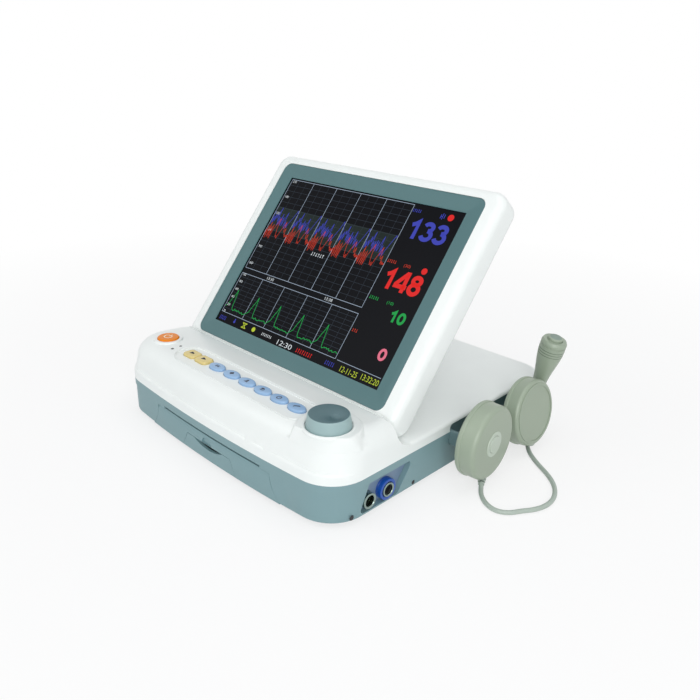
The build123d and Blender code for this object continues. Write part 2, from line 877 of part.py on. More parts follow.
def gear_at(teeth, y, turn):
    """A spur gear on an axis along X, beside the drawer's right wall."""
    plane = Plane(origin=(gear_low, y, platen_height), x_dir=(0, 1, 0), z_dir=(1, 0, 0))
    return extrude(plane * gear_face(teeth, turn), gear_width)


def platen_shaft():
    """Steel shaft of the platen with its drive gear."""
    left = -tray_half - tray_wall - slide_gap
    shaft = bar(left, gear_high, platen_y, platen_height, platen_shaft_radius)
    return shaft + gear_at(platen_teeth, platen_y, 0)


def motor_pinion():
    """Pinion and its motor spindle; a gap between two teeth faces the platen's gear."""
    spindle = bar(gear_low, frame_inner + motor_length / 2, pinion_y, platen_height,
        platen_shaft_radius / 2)
    return gear_at(pinion_teeth, pinion_y, pi / pinion_teeth) + spindle


frame_inner = flange_half + slide_gap + guide_thickness + slide_gap
frame_top = platen_height + platen_radius + slide_gap + head_height + frame_thickness


def printer_frame():
    """Bent steel frame across the drawer: it carries the print head and the motor."""
    front = platen_y - head_length / 2
    rear = pinion_y + motor_radius
    outer = frame_inner + frame_thickness
    frame = block(-outer, outer, front, rear, frame_top - frame_thickness, frame_top)
    for turn in (-1, 1):
        x = turn * (frame_inner + frame_thickness / 2)
        frame += block(x - frame_thickness / 2, x + frame_thickness / 2, front, rear, case_floor, frame_top)
        foot = turn * (outer + frame_foot / 2)
        for y in (front + frame_foot / 2, rear - frame_foot / 2):
            frame += block(foot - frame_foot / 2, foot + frame_foot / 2, y - frame_foot / 2, y
                + frame_foot / 2,
                           case_floor, case_floor + frame_thickness)
            frame -= post(foot, y, foot_height, case_floor + overrun, screw_radius)
    frame -= bar(frame_inner - overrun, outer + overrun, pinion_y, platen_height, 2 * platen_shaft_radius)
    window = frame_inner / 2
    return frame - block(-window, window, platen_y + head_length, rear - overrun, 0, case_width)


def print_head():
    """Thermal print head with its heat sink, just above the platen."""
    half = paper_width / 2
    low = platen_height + platen_radius + slide_gap
    head = block(-half, half, platen_y - head_length / 2, platen_y + head_length / 2, low, low
        + head_height)
    front = head.edges().filter_by(Axis.X).group_by(Axis.Z)[0].sort_by(Axis.Y)[0]
    return chamfer(front, head_height / 2)


def stepper_motor():
    """Stepper motor on the frame's right side, bored for its spindle."""
    face = frame_inner + frame_thickness
    motor = bar(face, face + motor_length, pinion_y, platen_height, motor_radius)
    return motor - bar(0, face + motor_length / 2, pinion_y, platen_height, platen_shaft_radius / 2
        + shaft_clearance)


def lower_case():
    """Grey lower shell: belt, drawer bay, side recesses, posts and ribs."""
    skirt = extrude(Pos(0, 0, foot_height) * outline(belly), belt_low - foot_height)
    skirt = fillet(skirt.faces().sort_by(Axis.Z)[0].edges(), belly_edge)
    outer = skirt + extrude(Pos(0, 0, belt_low) * outline(), parting_height - belt_low)
    hollow = extrude(Pos(0, 0, case_floor) * outline(belly + wall), parting_height)
    body = outer - hollow
    tongue = outline(belly + wall) - outline(belly + wall + tongue_width)
    body += extrude(Pos(0, 0, belt_low) * tongue, parting_height + tongue_width
        - belt_low) - dock_cut(wall + fit_gap)
    body += (dock_cut(wall) + port_cut(wall)) & outer
    body -= dock_cut()
    body -= port_cut()

    for x, y in screw_places():
        body += post(x, y, case_floor, parting_height, post_radius)
        body -= post(x, y, 0, parting_height, screw_radius + shaft_clearance)
        body -= post(x, y, 0, foot_height + screw_head_height, screw_head_radius + fit_gap)
    for x, y in stand_places():
        body += post(x, y, case_floor, case_floor + board_rise, stem_radius + screw_radius)
        body -= post(x, y, case_floor, case_floor + board_rise, screw_radius)
    body -= socket_hole(blue_socket_y, blue_socket_z, metal_ring_radius + wall)
    body -= socket_hole(grey_socket_y, grey_socket_z, grey_bore_radius + wall)

    bay = door_back + front_bow - door_thickness
    body -= across(door_face(door_gap, door_low, slot_low), -case_depth, bay)
    half = door_low_half + door_gap
    body -= block(-half, half, -case_depth, bay, 0, door_low)
    body -= block(-slot_half_width, slot_half_width, -case_depth, bay, slot_low - overrun, slot_high)

    for turn in (-1, 1):
        x = turn * (flange_half + slide_gap + guide_thickness / 2)
        body += block(x - guide_thickness / 2, x + guide_thickness / 2, bay, tray_rear, case_floor,
            guide_top)
        x = turn * (flange_half + slide_gap - flange_width / 4)
        body += block(x - flange_width / 4, x + flange_width / 4, bay + front_bow, tray_rear,
                      tray_low + tray_floor + fit_gap, guide_top)
        tower = turn * hinge_x
        for y in (hinge_y - leaf_foot_length / 2, hinge_y + leaf_foot_length / 2):
            body += post(tower, y, case_floor, leaf_foot_height - leaf_thickness, post_radius)
    for i in range(grille_holes):
        angle = 2 * pi * i / grille_holes
        body -= post(speaker_x + grille_radius * cos(angle), speaker_y + grille_radius * sin(angle),
                     0, case_floor + overrun, screw_radius)
    body -= block(inlet_x - inlet_width / 2, inlet_x + inlet_width / 2, case_depth / 2 - 2 * wall,
        case_depth,
                  inlet_z - inlet_depth / 2, inlet_z + inlet_depth / 2)
    body -= Pos(earth_x, rear_line, inlet_z) * Rot(90, 0, 0) * Cylinder(earth_shank_radius, 4 * wall)
    return body


def rubber_feet():
    """Four round rubber feet."""
    return Part() + [post(x, y, 0, foot_height, foot_radius) for x, y in foot_places()]


def case_screws():
    """Screws that join the two shells from below, and those that hold the key board."""
    screws = []
    for x, y in screw_places():
        seat = foot_height + screw_head_height
        screw = post(x, y, seat, parting_height + screw_grip, screw_radius)
        screws.append(screw + post(x, y, seat - screw_head_height + fit_gap, seat, screw_head_radius))
    for x, y in stand_places():
        top = case_floor + board_rise + board_thickness
        screw = post(x, y, case_floor + screw_head_height, top, screw_radius)
        screws.append(screw + post(x, y, top, top + screw_head_height, screw_head_radius))
    for x, y in board_post_places():
        low = board_top - board_thickness
        screw = post(x, y, low, board_top, screw_radius - shaft_clearance)
        screws.append(screw + post(x, y, low - screw_head_height, low, screw_head_radius))
    return Part() + screws


def main_board():
    """Main board on its stand-offs, with its shielded input stage and connectors."""
    low = case_floor + board_rise
    top = low + board_thickness
    board = block(board_left, board_right, board_front, board_rear, low, top)
    for x, y in stand_places():
        board -= post(x, y, low - overrun, top + overrun, screw_radius + shaft_clearance)
    middle = (board_left + board_right) / 2
    shield = block(middle, board_right - post_radius * 3, board_front + post_radius * 3,
        (board_front + board_rear) / 2,
                   top, top + component_height)
    shield = fillet(shield.edges().filter_by(Axis.Z), wall)
    chip = block(board_left + post_radius * 4, board_left + post_radius * 10, 0, post_radius * 6, top,
        top + component_height / 4)
    header = block(board_left + post_radius * 4, middle, board_rear - post_radius * 3, board_rear
        - post_radius * 2,
                   top, top + component_height)
    return board + shield + chip + header


def power_supply():
    """Enclosed mains supply with its slotted cover."""
    box = block(supply_left, supply_right, supply_front, supply_rear, case_floor, case_floor
        + supply_height)
    box = fillet(box.edges().filter_by(Axis.Z), wall)
    slots = int((supply_rear - supply_front) / supply_slot_pitch)
    for i in range(1, slots):
        y = supply_front + i * supply_slot_pitch
        box -= block(supply_left + 2 * wall, supply_right - 2 * wall, y - screw_radius / 2, y
            + screw_radius / 2,
                     case_floor + supply_height - wall, case_width)
    return box


def battery_pack():
    """Rechargeable pack: two rows of shrink-wrapped cells."""
    length = battery_rear - battery_front
    cells = []
    for row in range(battery_rows):
        for layer in range(battery_layers):
            x = battery_left + cell_radius * (1 + 2 * row)
            z = case_floor + cell_radius * (1 + 2 * layer)
            cells.append(Pos(x, battery_front + length / 2, z) * Rot(90, 0, 0) * Cylinder(cell_radius,
                length))
    wrap = block(battery_left + cell_radius, battery_left + cell_radius * (2 * battery_rows - 1),
        battery_front,
                 battery_rear, case_floor, case_floor + 2 * cell_radius * battery_layers)
    side = block(battery_left, battery_left + 2 * cell_radius * battery_rows, battery_front, battery_rear,
                 case_floor + cell_radius, case_floor + cell_radius * (2 * battery_layers - 1))
    return wrap + side + cells


def loudspeaker():
    """Loudspeaker that faces down through the ring of holes."""
    rim = post(speaker_x, speaker_y, case_floor, case_floor + wall, speaker_radius)
    rim -= post(speaker_x, speaker_y, case_floor, case_floor + wall / 2, speaker_radius - wall)
    basket_height = speaker_height - magnet_height
    basket = Pos(speaker_x, speaker_y, case_floor + wall + basket_height / 2) * Cone(
        speaker_radius - wall, magnet_radius, basket_height)
    magnet_low = case_floor + wall + basket_height
    return rim + basket + post(speaker_x, speaker_y, magnet_low, magnet_low + magnet_height, magnet_radius)


def mains_inlet():
    """Three-pin mains inlet in the rear wall."""
    rear = case_depth / 2 - belly
    front = rear - inlet_length
    low = inlet_z - inlet_depth / 2 + fit_gap / 2
    high = inlet_z + inlet_depth / 2 - fit_gap / 2
    half = inlet_width / 2 - fit_gap / 2
    flange = inlet_flange
    body = block(inlet_x - half, inlet_x + half, front, rear, low, high)
    body += block(inlet_x - half - flange, inlet_x + half + flange, rear, rear + flange / 2, low
        - flange / 2, high + flange / 2)
    mouth = block(inlet_x - half + wall, inlet_x + half - wall, front + 2 * wall, rear + flange, low
        + wall, high - wall)
    mouth = fillet(mouth.edges().filter_by(Axis.Y).group_by(Axis.Z)[-1], 2 * wall)
    body -= mouth
    for turn in (-1, 0, 1):
        x = inlet_x + turn * inlet_pin_pitch
        z = inlet_z + (inlet_pin_rise if turn == 0 else -inlet_pin_rise)
        body += block(x - inlet_pin / 2, x + inlet_pin / 2, front + wall, rear - wall, z - inlet_pin,
            z + inlet_pin)
    return body


def earth_stud():
    """Round earthing pin with its nut collar in the rear wall."""
    rear = case_depth / 2 - belly
    pin = Pos(earth_x, rear + earth_length / 2, inlet_z) * Rot(90, 0, 0) * Cylinder(earth_radius,
        earth_length)
    pin += Pos(earth_x, rear - earth_length / 2, inlet_z) * Rot(90, 0, 0) * Cylinder(earth_shank_radius,
        earth_length)
    nut = extrude(Pos(earth_x, rear - wall, inlet_z) * (Plane.XZ * RegularPolygon(nut_radius, 6)),
        earth_radius)
    return pin + nut


display_plane = Plane(
    origin=(0, hinge_y, hinge_z), x_dir=(1, 0, 0),
    z_dir=(0, -sin(radians(display_tilt)), cos(radians(display_tilt))))
half_thick = display_thickness / 2
screen_level = half_thick - screen_sink
screen_top = screen_offset + screen_height


def display_form(inset=0.0):
    """Slab of the display in its own frame: hinge axis on X, screen up along Y, face to +Z."""
    half = display_half_width - inset
    thick = half_thick - inset
    slab = block(-half, half, 0, display_length - inset, -thick, thick)
    slab = fillet(slab.edges().filter_by(Axis.Z).group_by(Axis.Y)[-1], display_corner - inset)
    slab += bar(-half, half, 0, 0, thick)
    rim = []
    for face in slab.faces().filter_by(GeomType.PLANE):
        level = abs(face.normal_at().Z) > abs(face.normal_at().Y)
        if not level and abs(face.normal_at().X) < abs(face.normal_at().Y):
            continue
        for edge in face.edges():
            seam = edge.geom_type == GeomType.LINE and (
                abs(edge.center().Y) < fit_gap or abs(edge.center().Z) < fit_gap)
            if not seam and all(not edge.is_same(other) for other in rim):
                rim.append(edge)
    return fillet(rim, display_edge - inset)


def bezel_outline(grow=0.0):
    """Outline of the bezel around the screen, grown for the pocket that it sits in."""
    width = 2 * (bezel_half_width + grow)
    height = bezel_high - bezel_low + 2 * grow
    middle = (bezel_high + bezel_low) / 2
    return Pos(0, middle) * RectangleRounded(width, height, bezel_corner + grow)


def screen_outline(grow):
    middle = screen_offset + screen_height / 2
    return Pos(0, middle) * Rectangle(screen_width + 2 * grow, screen_height + 2 * grow)


bezel_top = half_thick - bezel_sink
bezel_back = bezel_top - bezel_thickness


def leaf_slots():
    """Room in the barrel for the hinge leaves over the whole fold."""
    reach = leaf_width / 2 + slide_gap
    slots = []
    for side in (-1, 1):
        x = side * hinge_x
        half = leaf_thickness / 2 + slide_gap
        slots.append(block(x - half, x + half, -display_thickness, reach, -display_thickness, reach))
        slots.append(bar(x - half, x + half, 0, 0, knuckle_radius + slide_gap))
    return Part() + slots


def hinge_bosses(low, high):
    """Solid bosses that grip the hinge shafts, between two levels of the display's thickness."""
    bosses = []
    for side in (-1, 1):
        x = side * hinge_x
        boss = bar(x - shaft_length / 2, x + shaft_length / 2, 0, 0, half_thick - fit_gap)
        boss -= bar(x - shaft_length, x + shaft_length, 0, 0, shaft_radius)
        bosses.append(boss & block(-case_width, case_width, -case_depth, knuckle_radius, low, high))
    return Part() + bosses


def display_front():
    """White front housing with the pocket for the bezel and the window for the screen."""
    outer = display_form()
    frame = extrude(Pos(0, 0, module_front) * bezel_outline(wall), half_thick) & outer
    body = outer - display_form(wall) + frame
    body = body & block(-case_width, case_width, -case_depth, case_depth, 0, case_width)
    body += hinge_bosses(0, half_thick)
    body -= extrude(Pos(0, 0, bezel_back - fit_gap) * bezel_outline(fit_gap), half_thick)
    body -= extrude(screen_outline(glass_border + fit_gap), half_thick)
    notch_y = display_length + notch_radius - notch_depth
    body -= Pos(notch_x, notch_y, half_thick) * Cylinder(notch_radius, notch_depth)
    return display_plane.location * (body - leaf_slots())


def display_back():
    """White back cover with the lower half of the bosses and the board's posts."""
    body = display_form() - display_form(wall)
    body = body & block(-case_width, case_width, -case_depth, case_depth, -case_width, 0)
    body += hinge_bosses(-half_thick, 0)
    for x, y in module_places():
        body += post(x, y, wall - half_thick, module_back - board_rise, stem_radius)
    return display_plane.location * (body - leaf_slots())


module_front = screen_level - glass_thickness
module_back = module_front - module_thickness


def module_places():
    wide = screen_width / 2 - post_radius
    return [(side * wide, y) for side in (-1, 1) for y in (screen_offset + screen_height / 3,
        screen_top - screen_height / 6)]


def hinge_shafts():
    """Two steel shafts fixed in the display's bosses."""
    shafts = [bar(s * hinge_x - shaft_length / 2, s * hinge_x + shaft_length / 2, 0, 0,
        shaft_radius) for s in (-1, 1)]
    return display_plane.location * (Part() + shafts)


def bezel():
    """Grey-green frame that slopes in to the screen."""
    plate = extrude(Pos(0, 0, bezel_back) * bezel_outline(), bezel_thickness)
    lip = screen_level + bezel_lip
    border = bezel_half_width - screen_width / 2 - bezel_flat
    plate -= loft([Pos(0, 0, lip) * screen_outline(fit_gap),
        Pos(0, 0, bezel_top) * screen_outline(border)], ruled=True)
    plate -= extrude(screen_outline(fit_gap), half_thick)
    plate -= extrude(screen_outline(glass_border + fit_gap), screen_level + fit_gap)
    return display_plane.location * plate


def screen_glass():
    """Front glass of the screen."""
    glass = extrude(Pos(0, 0, module_front) * screen_outline(glass_border), glass_thickness)
    return display_plane.location * glass


def screen_module():
    """Flat panel module behind the glass, with its lamp housing ribs."""
    low = screen_offset - module_end
    high = screen_top + module_end
    half = screen_width / 2 + module_side
    module = block(-half, half, low, high, module_back, module_front)
    inner = module_side + module_end
    module -= block(inner - half, half - inner, low + inner, high - inner, module_back - overrun,
        module_back + board_thickness)
    return display_plane.location * module


def display_board():
    """Driver board behind the module, on the back cover's posts."""
    low = module_back - board_rise
    wide = screen_width / 2
    y0 = screen_offset + screen_height / 3 - 3 * post_radius
    y1 = screen_top - screen_height / 6 + 3 * post_radius
    board = block(-wide, wide, y0, y1, low, low + board_thickness)
    driver = block(-wide / 2, wide / 4, y0 + 3 * post_radius, y0 + 8 * post_radius, low
        + board_thickness, module_back)
    return display_plane.location * (board + driver)


def hinge_leaves():
    """Two steel leaves: a knuckle round the shaft, an upright and a foot."""
    leaves = []
    for side in (-1, 1):
        x = side * hinge_x
        half = leaf_thickness / 2
        leaf = bar(x - half, x + half, hinge_y, hinge_z, knuckle_radius)
        leaf += block(x - half, x + half, hinge_y - leaf_width / 2, hinge_y + leaf_width / 2,
            leaf_foot_height - leaf_thickness, hinge_z)
        reach = leaf_foot_length / 2 + post_radius
        leaf += block(x - leaf_width / 2, x + leaf_width / 2, hinge_y - reach, hinge_y + reach,
            leaf_foot_height - leaf_thickness, leaf_foot_height)
        leaf -= bar(x - leaf_thickness, x + leaf_thickness, hinge_y, hinge_z, shaft_radius
            + shaft_clearance)
        leaves.append(leaf)
    return Part() + leaves


plate_x = case_width / 2 - port_depth


def connector_plate():
    """Plate in the socket recess."""
    plate = extrude(port_face(-fit_gap), port_depth + fit_gap, dir=(-1, 0, 0))
    plate = plate & block(plate_x + fit_gap / 2, plate_x + plate_thickness, -case_depth, case_depth, 0,
        parting_height)
    plate -= socket_hole(blue_socket_y, blue_socket_z, metal_ring_radius + wall)
    return plate - socket_hole(grey_socket_y, grey_socket_z, grey_bore_radius + wall)


def round_socket(y, z, ring, body_radius, bore):
    """A round chassis socket: flange ring, body through the plate, and its bore."""
    face = plate_x + plate_thickness
    flange = bar(face, face + socket_flange, y, z, ring)
    flange = chamfer(flange.edges().filter_by(GeomType.CIRCLE).sort_by(Axis.X)[-1], socket_flange / 3)
    body = bar(face + socket_flange - socket_length, face, y, z, body_radius)
    return flange + body - bar(face + socket_flange - socket_length + wall, face + overrun * 2, y, z, bore)


def blue_socket():
    """Ultrasound socket: blue ring round a metal collar."""
    socket = round_socket(blue_socket_y, blue_socket_z, blue_ring_radius, metal_ring_radius + wall
        - fit_gap, blue_bore_radius)
    face = plate_x + plate_thickness + socket_flange
    collar = bar(face, face + socket_flange, blue_socket_y, blue_socket_z, metal_ring_radius)
    return socket + (collar - bar(face - overrun, face + overrun * 2, blue_socket_y, blue_socket_z,
        blue_bore_radius))


def grey_socket():
    """Contraction socket: grey metal ring."""
    return round_socket(grey_socket_y, grey_socket_z, grey_ring_radius, grey_bore_radius + wall
        - fit_gap, grey_bore_radius)


holder_back = case_width / 2 - dock_depth
holder_out = case_width / 2 + holder_reach
holder_floor = holder_low + holder_wall


def tilted(x, y, z, lean):
    """Location whose Z axis leans from the vertical towards +X."""
    return Location(Plane(origin=(x, y, z), x_dir=(cos(radians(lean)), 0, -sin(radians(lean))),
                          z_dir=(sin(radians(lean)), 0, cos(radians(lean)))))


marker_place = tilted(marker_x, marker_y, marker_low, marker_lean)


def transducer_holder():
    """Blue-grey rail: back plate, trough with a slot for each belt stud, and the marker's cup."""
    front = dock_front + fit_gap
    rear = dock_rear - fit_gap
    plate = block(holder_back + fit_gap, holder_back + fit_gap + holder_wall, front, rear, dock_low
        + fit_gap, dock_high - fit_gap)
    plate = fillet(plate.edges().filter_by(Axis.X).group_by(Axis.Y)[0], port_corner - fit_gap)
    trough = block(holder_back + fit_gap, holder_out, front, rear, holder_low, holder_high)
    trough = fillet(trough.edges().filter_by(Axis.Z).group_by(Axis.X)[-1], holder_wall)
    trough -= block(holder_back + fit_gap + holder_wall, holder_out - holder_wall, front + holder_wall,
                    cup_front, holder_floor, case_width)
    trough = chamfer(trough.edges().filter_by(Axis.Y).group_by(Axis.Z)[-1].sort_by(Axis.X)[-1],
        holder_wall / 3)
    cup = Cylinder(marker_low_radius + cup_gap + cup_wall, cup_height + cup_drop)
    cup = marker_place * (Pos(0, 0, (cup_height - cup_drop) / 2) * cup)
    cup = cup & block(holder_back + fit_gap, case_width, -case_depth, case_depth, holder_low, case_width)
    body = plate + trough + cup
    body -= marker_place * (Pos(0, 0, case_width / 2 - fit_gap) * Cylinder(marker_low_radius + cup_gap,
        case_width))
    for y, z in ((toco_neck_y, toco_z), (sono_y, sono_neck_z)):
        half = stud_neck_radius + slide_gap
        body -= block(holder_out - 2 * holder_wall, holder_out + overrun, y - half, y + half, z, case_width)
        body -= bar(holder_out - 2 * holder_wall, holder_out + overrun, y, z, half)
    return body


def toco_location():
    """Place of the contraction transducer: Z axis out of its face, X axis up."""
    yaw = radians(toco_yaw)
    normal = Vector(cos(yaw), sin(yaw), 0)
    origin = Vector(toco_face_x, toco_y, toco_z) - normal * toco_thickness
    return Location(Plane(origin=origin, x_dir=(0, 0, 1), z_dir=normal))


def sono_location():
    """Place of the ultrasound transducer: Z axis out of its face, X axis up."""
    tilt = radians(sono_tilt)
    normal = Vector(cos(tilt), 0, sin(tilt))
    origin = Vector(sono_face_x, sono_y, sono_z) - normal * sono_thickness
    return Location(Plane(origin=origin, x_dir=(-sin(tilt), 0, cos(tilt)), z_dir=normal))


toco_neck_y = toco_y - (toco_face_x - holder_out + holder_wall / 2) * tan(radians(toco_yaw))
sono_neck_z = sono_z - (sono_face_x - holder_out + holder_wall / 2) * tan(radians(sono_tilt))


def disc(radius, low, high, top_round, bottom_round):
    """Round puck with rounded edges, on the local Z axis."""
    body = Pos(0, 0, (low + high) / 2) * Cylinder(radius, high - low)
    if top_round:
        body = fillet(body.edges().sort_by(Axis.Z)[-1], top_round)
    if bottom_round:
        body = fillet(body.edges().sort_by(Axis.Z)[0], bottom_round)
    return body


def stud():
    """Mushroom stud for the belt, on the local Z axis behind the back shell."""
    neck = Pos(0, 0, -stud_reach / 2) * Cylinder(stud_neck_radius, stud_reach + fit_gap)
    head_z = -stud_reach - stud_head_thickness / 2
    return neck + Pos(0, 0, head_z) * Cylinder(stud_head_radius, stud_head_thickness)


def toco_front():
    """Front shell of the contraction transducer, with the seat of the light insert."""
    body = disc(toco_radius, toco_back_height, toco_thickness, toco_edge, 0)
    body -= disc(toco_insert_radius + shaft_clearance, toco_thickness - insert_depth, toco_thickness
        + overrun, 0, 0)
    body -= disc(toco_radius - wall, 0, toco_thickness - insert_depth - wall, 0, 0)
    body -= disc(toco_button_radius + fit_gap, 0, toco_thickness, 0, 0)
    return toco_location() * body - boot_hole()


def toco_back():
    """Back shell of the contraction transducer with its belt stud."""
    body = disc(toco_radius + toco_seam, 0, toco_back_height, toco_seam, toco_edge / 2)
    inside = disc(toco_radius - wall, wall, toco_back_height + overrun, 0, 0)
    pillar = disc(toco_button_radius - wall, 0, toco_thickness - insert_depth - wall, 0, 0)
    return toco_location() * (body - inside + pillar + stud()) - boot_hole()


def toco_insert():
    """Light ring in the middle of the face."""
    ring = disc(toco_insert_radius, toco_thickness - insert_depth, toco_thickness + insert_rise,
        insert_rise, 0)
    return toco_location() * (ring - disc(toco_button_radius + fit_gap, 0, case_width, 0, 0))


def toco_button():
    """Sensing button that the belly presses in."""
    low = toco_thickness - insert_depth - wall + toco_button_travel + fit_gap
    return toco_location() * disc(toco_button_radius, low, toco_thickness + toco_button_rise,
        toco_button_rise / 2, 0)


def boot_line():
    """Where the strain relief starts inside the rim, its direction and its length."""
    start = (toco_location() * Pos(boot_inset - toco_radius, 0, boot_depth)).position
    way = Vector(*cord_route[0]) - start
    return start, way.normalized(), way.length


def boot_hole():
    """Round hole in the rim for the strain relief's root."""
    start, way, length = boot_line()
    hole = Pos(0, 0, length / 2) * Cylinder(boot_root_radius + shaft_clearance, length)
    return Location(Plane(origin=start, z_dir=way)) * hole


def toco_boot():
    """Ribbed strain relief, tapered towards the cord."""
    start, way, length = boot_line()
    points = [(0, 0), (boot_root_radius, 0), (boot_root_radius, length - boot_length)]
    step = boot_length / (2 * boot_ribs)
    for i in range(boot_ribs):
        wide = boot_root_radius + (boot_tip_radius - boot_root_radius) * (i + 1) / boot_ribs
        z = length - boot_length + 2 * i * step
        points += [(wide - boot_groove, z), (wide - boot_groove, z + step), (wide, z + step),
            (wide, z + 2 * step)]
    points.append((0, length))
    profile = make_face(Polyline(*points, close=True))
    return Location(Plane(origin=start, z_dir=way)) * revolve(Plane.XZ * profile, Axis.Z)


def sono_front():
    """Front shell of the ultrasound transducer, with a thin raised ring."""
    body = disc(sono_radius, sono_back_height, sono_thickness, sono_edge, 0)
    edge = sono_radius - sono_edge
    ring = disc(edge, sono_thickness - wall, sono_thickness + sono_ring_rise, 0, 0)
    ring -= disc(edge - sono_ring_width, 0, case_width, 0, 0)
    return sono_location() * (body + ring)


def sono_back():
    """Back shell of the ultrasound transducer with its belt stud."""
    body = disc(sono_radius + toco_seam, 0, sono_back_height, toco_seam, sono_edge / 2)
    return sono_location() * (body + stud())


def sono_gland():
    """Short cord gland at the lower edge of the ultrasound transducer."""
    z = (sono_thickness + sono_back_height) / 2
    gland = Pos(-sono_radius - gland_length / 2, 0, z) * Rot(0, -90, 0) * Cone(
        gland_radius, gland_radius - wall / 2, gland_length)
    root = Pos(gland_radius - sono_radius, 0, z) * Rot(0, 90, 0) * Cylinder(gland_radius, 2 * gland_radius)
    return sono_location() * (gland + root - Pos(0, 0, z) * Cylinder(sono_radius, case_width))


def marker_grip():
    """Hand grip that swells towards its top, with three grooves below the rim."""
    top = marker_length
    rim = top - wall
    shoulder = rim - 3 * marker_groove_pitch
    side = Spline(
        (marker_low_radius, cup_height), (marker_waist_radius, top / 2), (marker_top_radius
            - marker_groove, shoulder),
        (marker_top_radius, rim), tangents=[(0, 1), (0, 1)])
    low = Polyline((0, 0), (marker_low_radius - marker_groove, 0), (marker_low_radius, marker_groove),
                   (marker_low_radius, cup_height))
    roof = Polyline((marker_top_radius, rim), (marker_top_radius - wall / 2, top), (0, top), (0, 0))
    body = revolve(Plane.XZ * make_face([low, side, roof]), Axis.Z)
    for i in range(marker_grooves):
        body -= Pos(0, 0, rim - (i + 0.5) * marker_groove_pitch) * Torus(marker_top_radius, marker_groove)
    well = Pos(0, 0, top) * Cylinder(marker_button_radius + fit_gap, 2 * marker_button_depth)
    return marker_place * (body - well)


def marker_button():
    """Press button on the marker's top."""
    low = marker_length - marker_button_depth + marker_button_travel + fit_gap
    return marker_place * disc(marker_button_radius, low, marker_length + marker_button_rise,
        marker_button_rise / 2, 0)


def run_path():
    """Path of the cord's free stretch: straight runs joined by tangent arcs."""
    points = [Vector(*p) for p in cord_route]
    radii = []
    for a, b, c in zip(points, points[1:], points[2:]):
        turn = (b - a).get_angle(c - b)
        radii.append(run_share * min((b - a).length, (c - b).length) / tan(radians(turn) / 2))
    print("cord: least bend radius", round(min(radii), 1))
    return FilletPolyline(*points, radius=radii)


def cord_run():
    """Free stretch of the cord, from the strain relief over the floor to the coil."""
    path = run_path()
    start = Plane(origin=path @ 0, z_dir=path % 0)
    return sweep(start * Circle(cord_radius), path=path)


def coil_path():
    """Path of the coil: half turns that spiral in and out, a layer higher at each reversal."""
    end = Vector(*cord_route[-1])
    start = Vector(coil_x, end.Y, end.Z)
    middle_y = end.Y + coil_radius
    edges = [Line(end, start)]
    point = start
    radius = coil_radius
    for half in range(coil_layers * coil_half_turns):
        layer = half // coil_half_turns
        climbs = half % coil_half_turns == coil_half_turns - 1 and layer < coil_layers - 1
        inward = layer % 2 == 0
        step = 0 if climbs else coil_pitch / 2
        radius += -step if inward else step
        side = 1 if half % 2 == 0 else -1
        goal = Vector(coil_x, middle_y + side * radius, point.Z + (coil_pitch if climbs else 0))
        way = Vector(-side, 0, 0)
        across_way = goal - point
        reach = across_way.length / 2
        joint = (point + goal) / 2 + way * reach
        edges.append(TangentArc(point, joint, tangent=way))
        edges.append(TangentArc(joint, goal, tangent=across_way.normalized()))
        point = goal
    return edges, point


def least_gap(path):
    """Least gap between the coil's turns, measured on points half a radius apart."""
    count = int(2 * path.length / cord_radius)
    spots = [tuple(path @ (i / count)) for i in range(count + 1)]
    return min(dist(a, b) for i, a in enumerate(spots) for b in spots[i + gap_skip:]) - 2 * cord_radius


def cord_coil():
    """Coil of the cord's put-away length, and its fall to the plug."""
    edges, point = coil_path()
    way = Vector(-1, 0, 0)
    drop = point.Z - plug_radius
    turn = acos(1 - drop / (2 * coil_fall_radius))
    reach = coil_fall_radius * sin(turn)
    low = point + Vector(-reach, 0, -drop / 2)
    end = point + Vector(-2 * reach, 0, -drop)
    edges.append(TangentArc(point, low, tangent=way))
    edges.append(TangentArc(low, end, tangent=Vector(-cos(turn), 0, -sin(turn))))
    edges.append(Line(end, end + way * cord_radius * 2))
    path = Wire(edges)
    print("coil: least gap to itself", round(least_gap(path), 2), "length", round(path.length))
    start = Plane(origin=path @ 0, z_dir=path % 0)
    return sweep(start * Circle(cord_radius), path=path)


def plug_start():
    """Point where the cord enters the plug."""
    point = coil_path()[1]
    drop = point.Z - plug_radius
    reach = coil_fall_radius * sin(acos(1 - drop / (2 * coil_fall_radius)))
    return point + Vector(-2 * reach - cord_radius * 2, 0, -drop)


def cord_plug():
    """Round plug: tapered tail, ribbed grip and metal collar."""
    tail_end = plug_tail
    grip_end = plug_length - plug_collar
    points = [(0, 0), (plug_tail_radius, 0), (plug_radius, tail_end)]
    step = (grip_end - tail_end) / (2 * plug_ribs)
    for i in range(plug_ribs):
        z = tail_end + 2 * i * step
        points += [(plug_radius, z + step), (plug_radius - boot_groove, z + step),
                   (plug_radius - boot_groove, z + 2 * step), (plug_radius, z + 2 * step)]
    points += [(plug_collar_radius, grip_end), (plug_collar_radius, plug_length), (0, plug_length)]
    plug = revolve(Plane.XZ * make_face(Polyline(*points, close=True)), Axis.Z)
    plug -= Pos(0, 0, plug_length) * Cylinder(plug_collar_radius - board_thickness,
        2 * (plug_collar - wall))
    return Location(Plane(origin=plug_start(), z_dir=(-1, 0, 0))) * plug


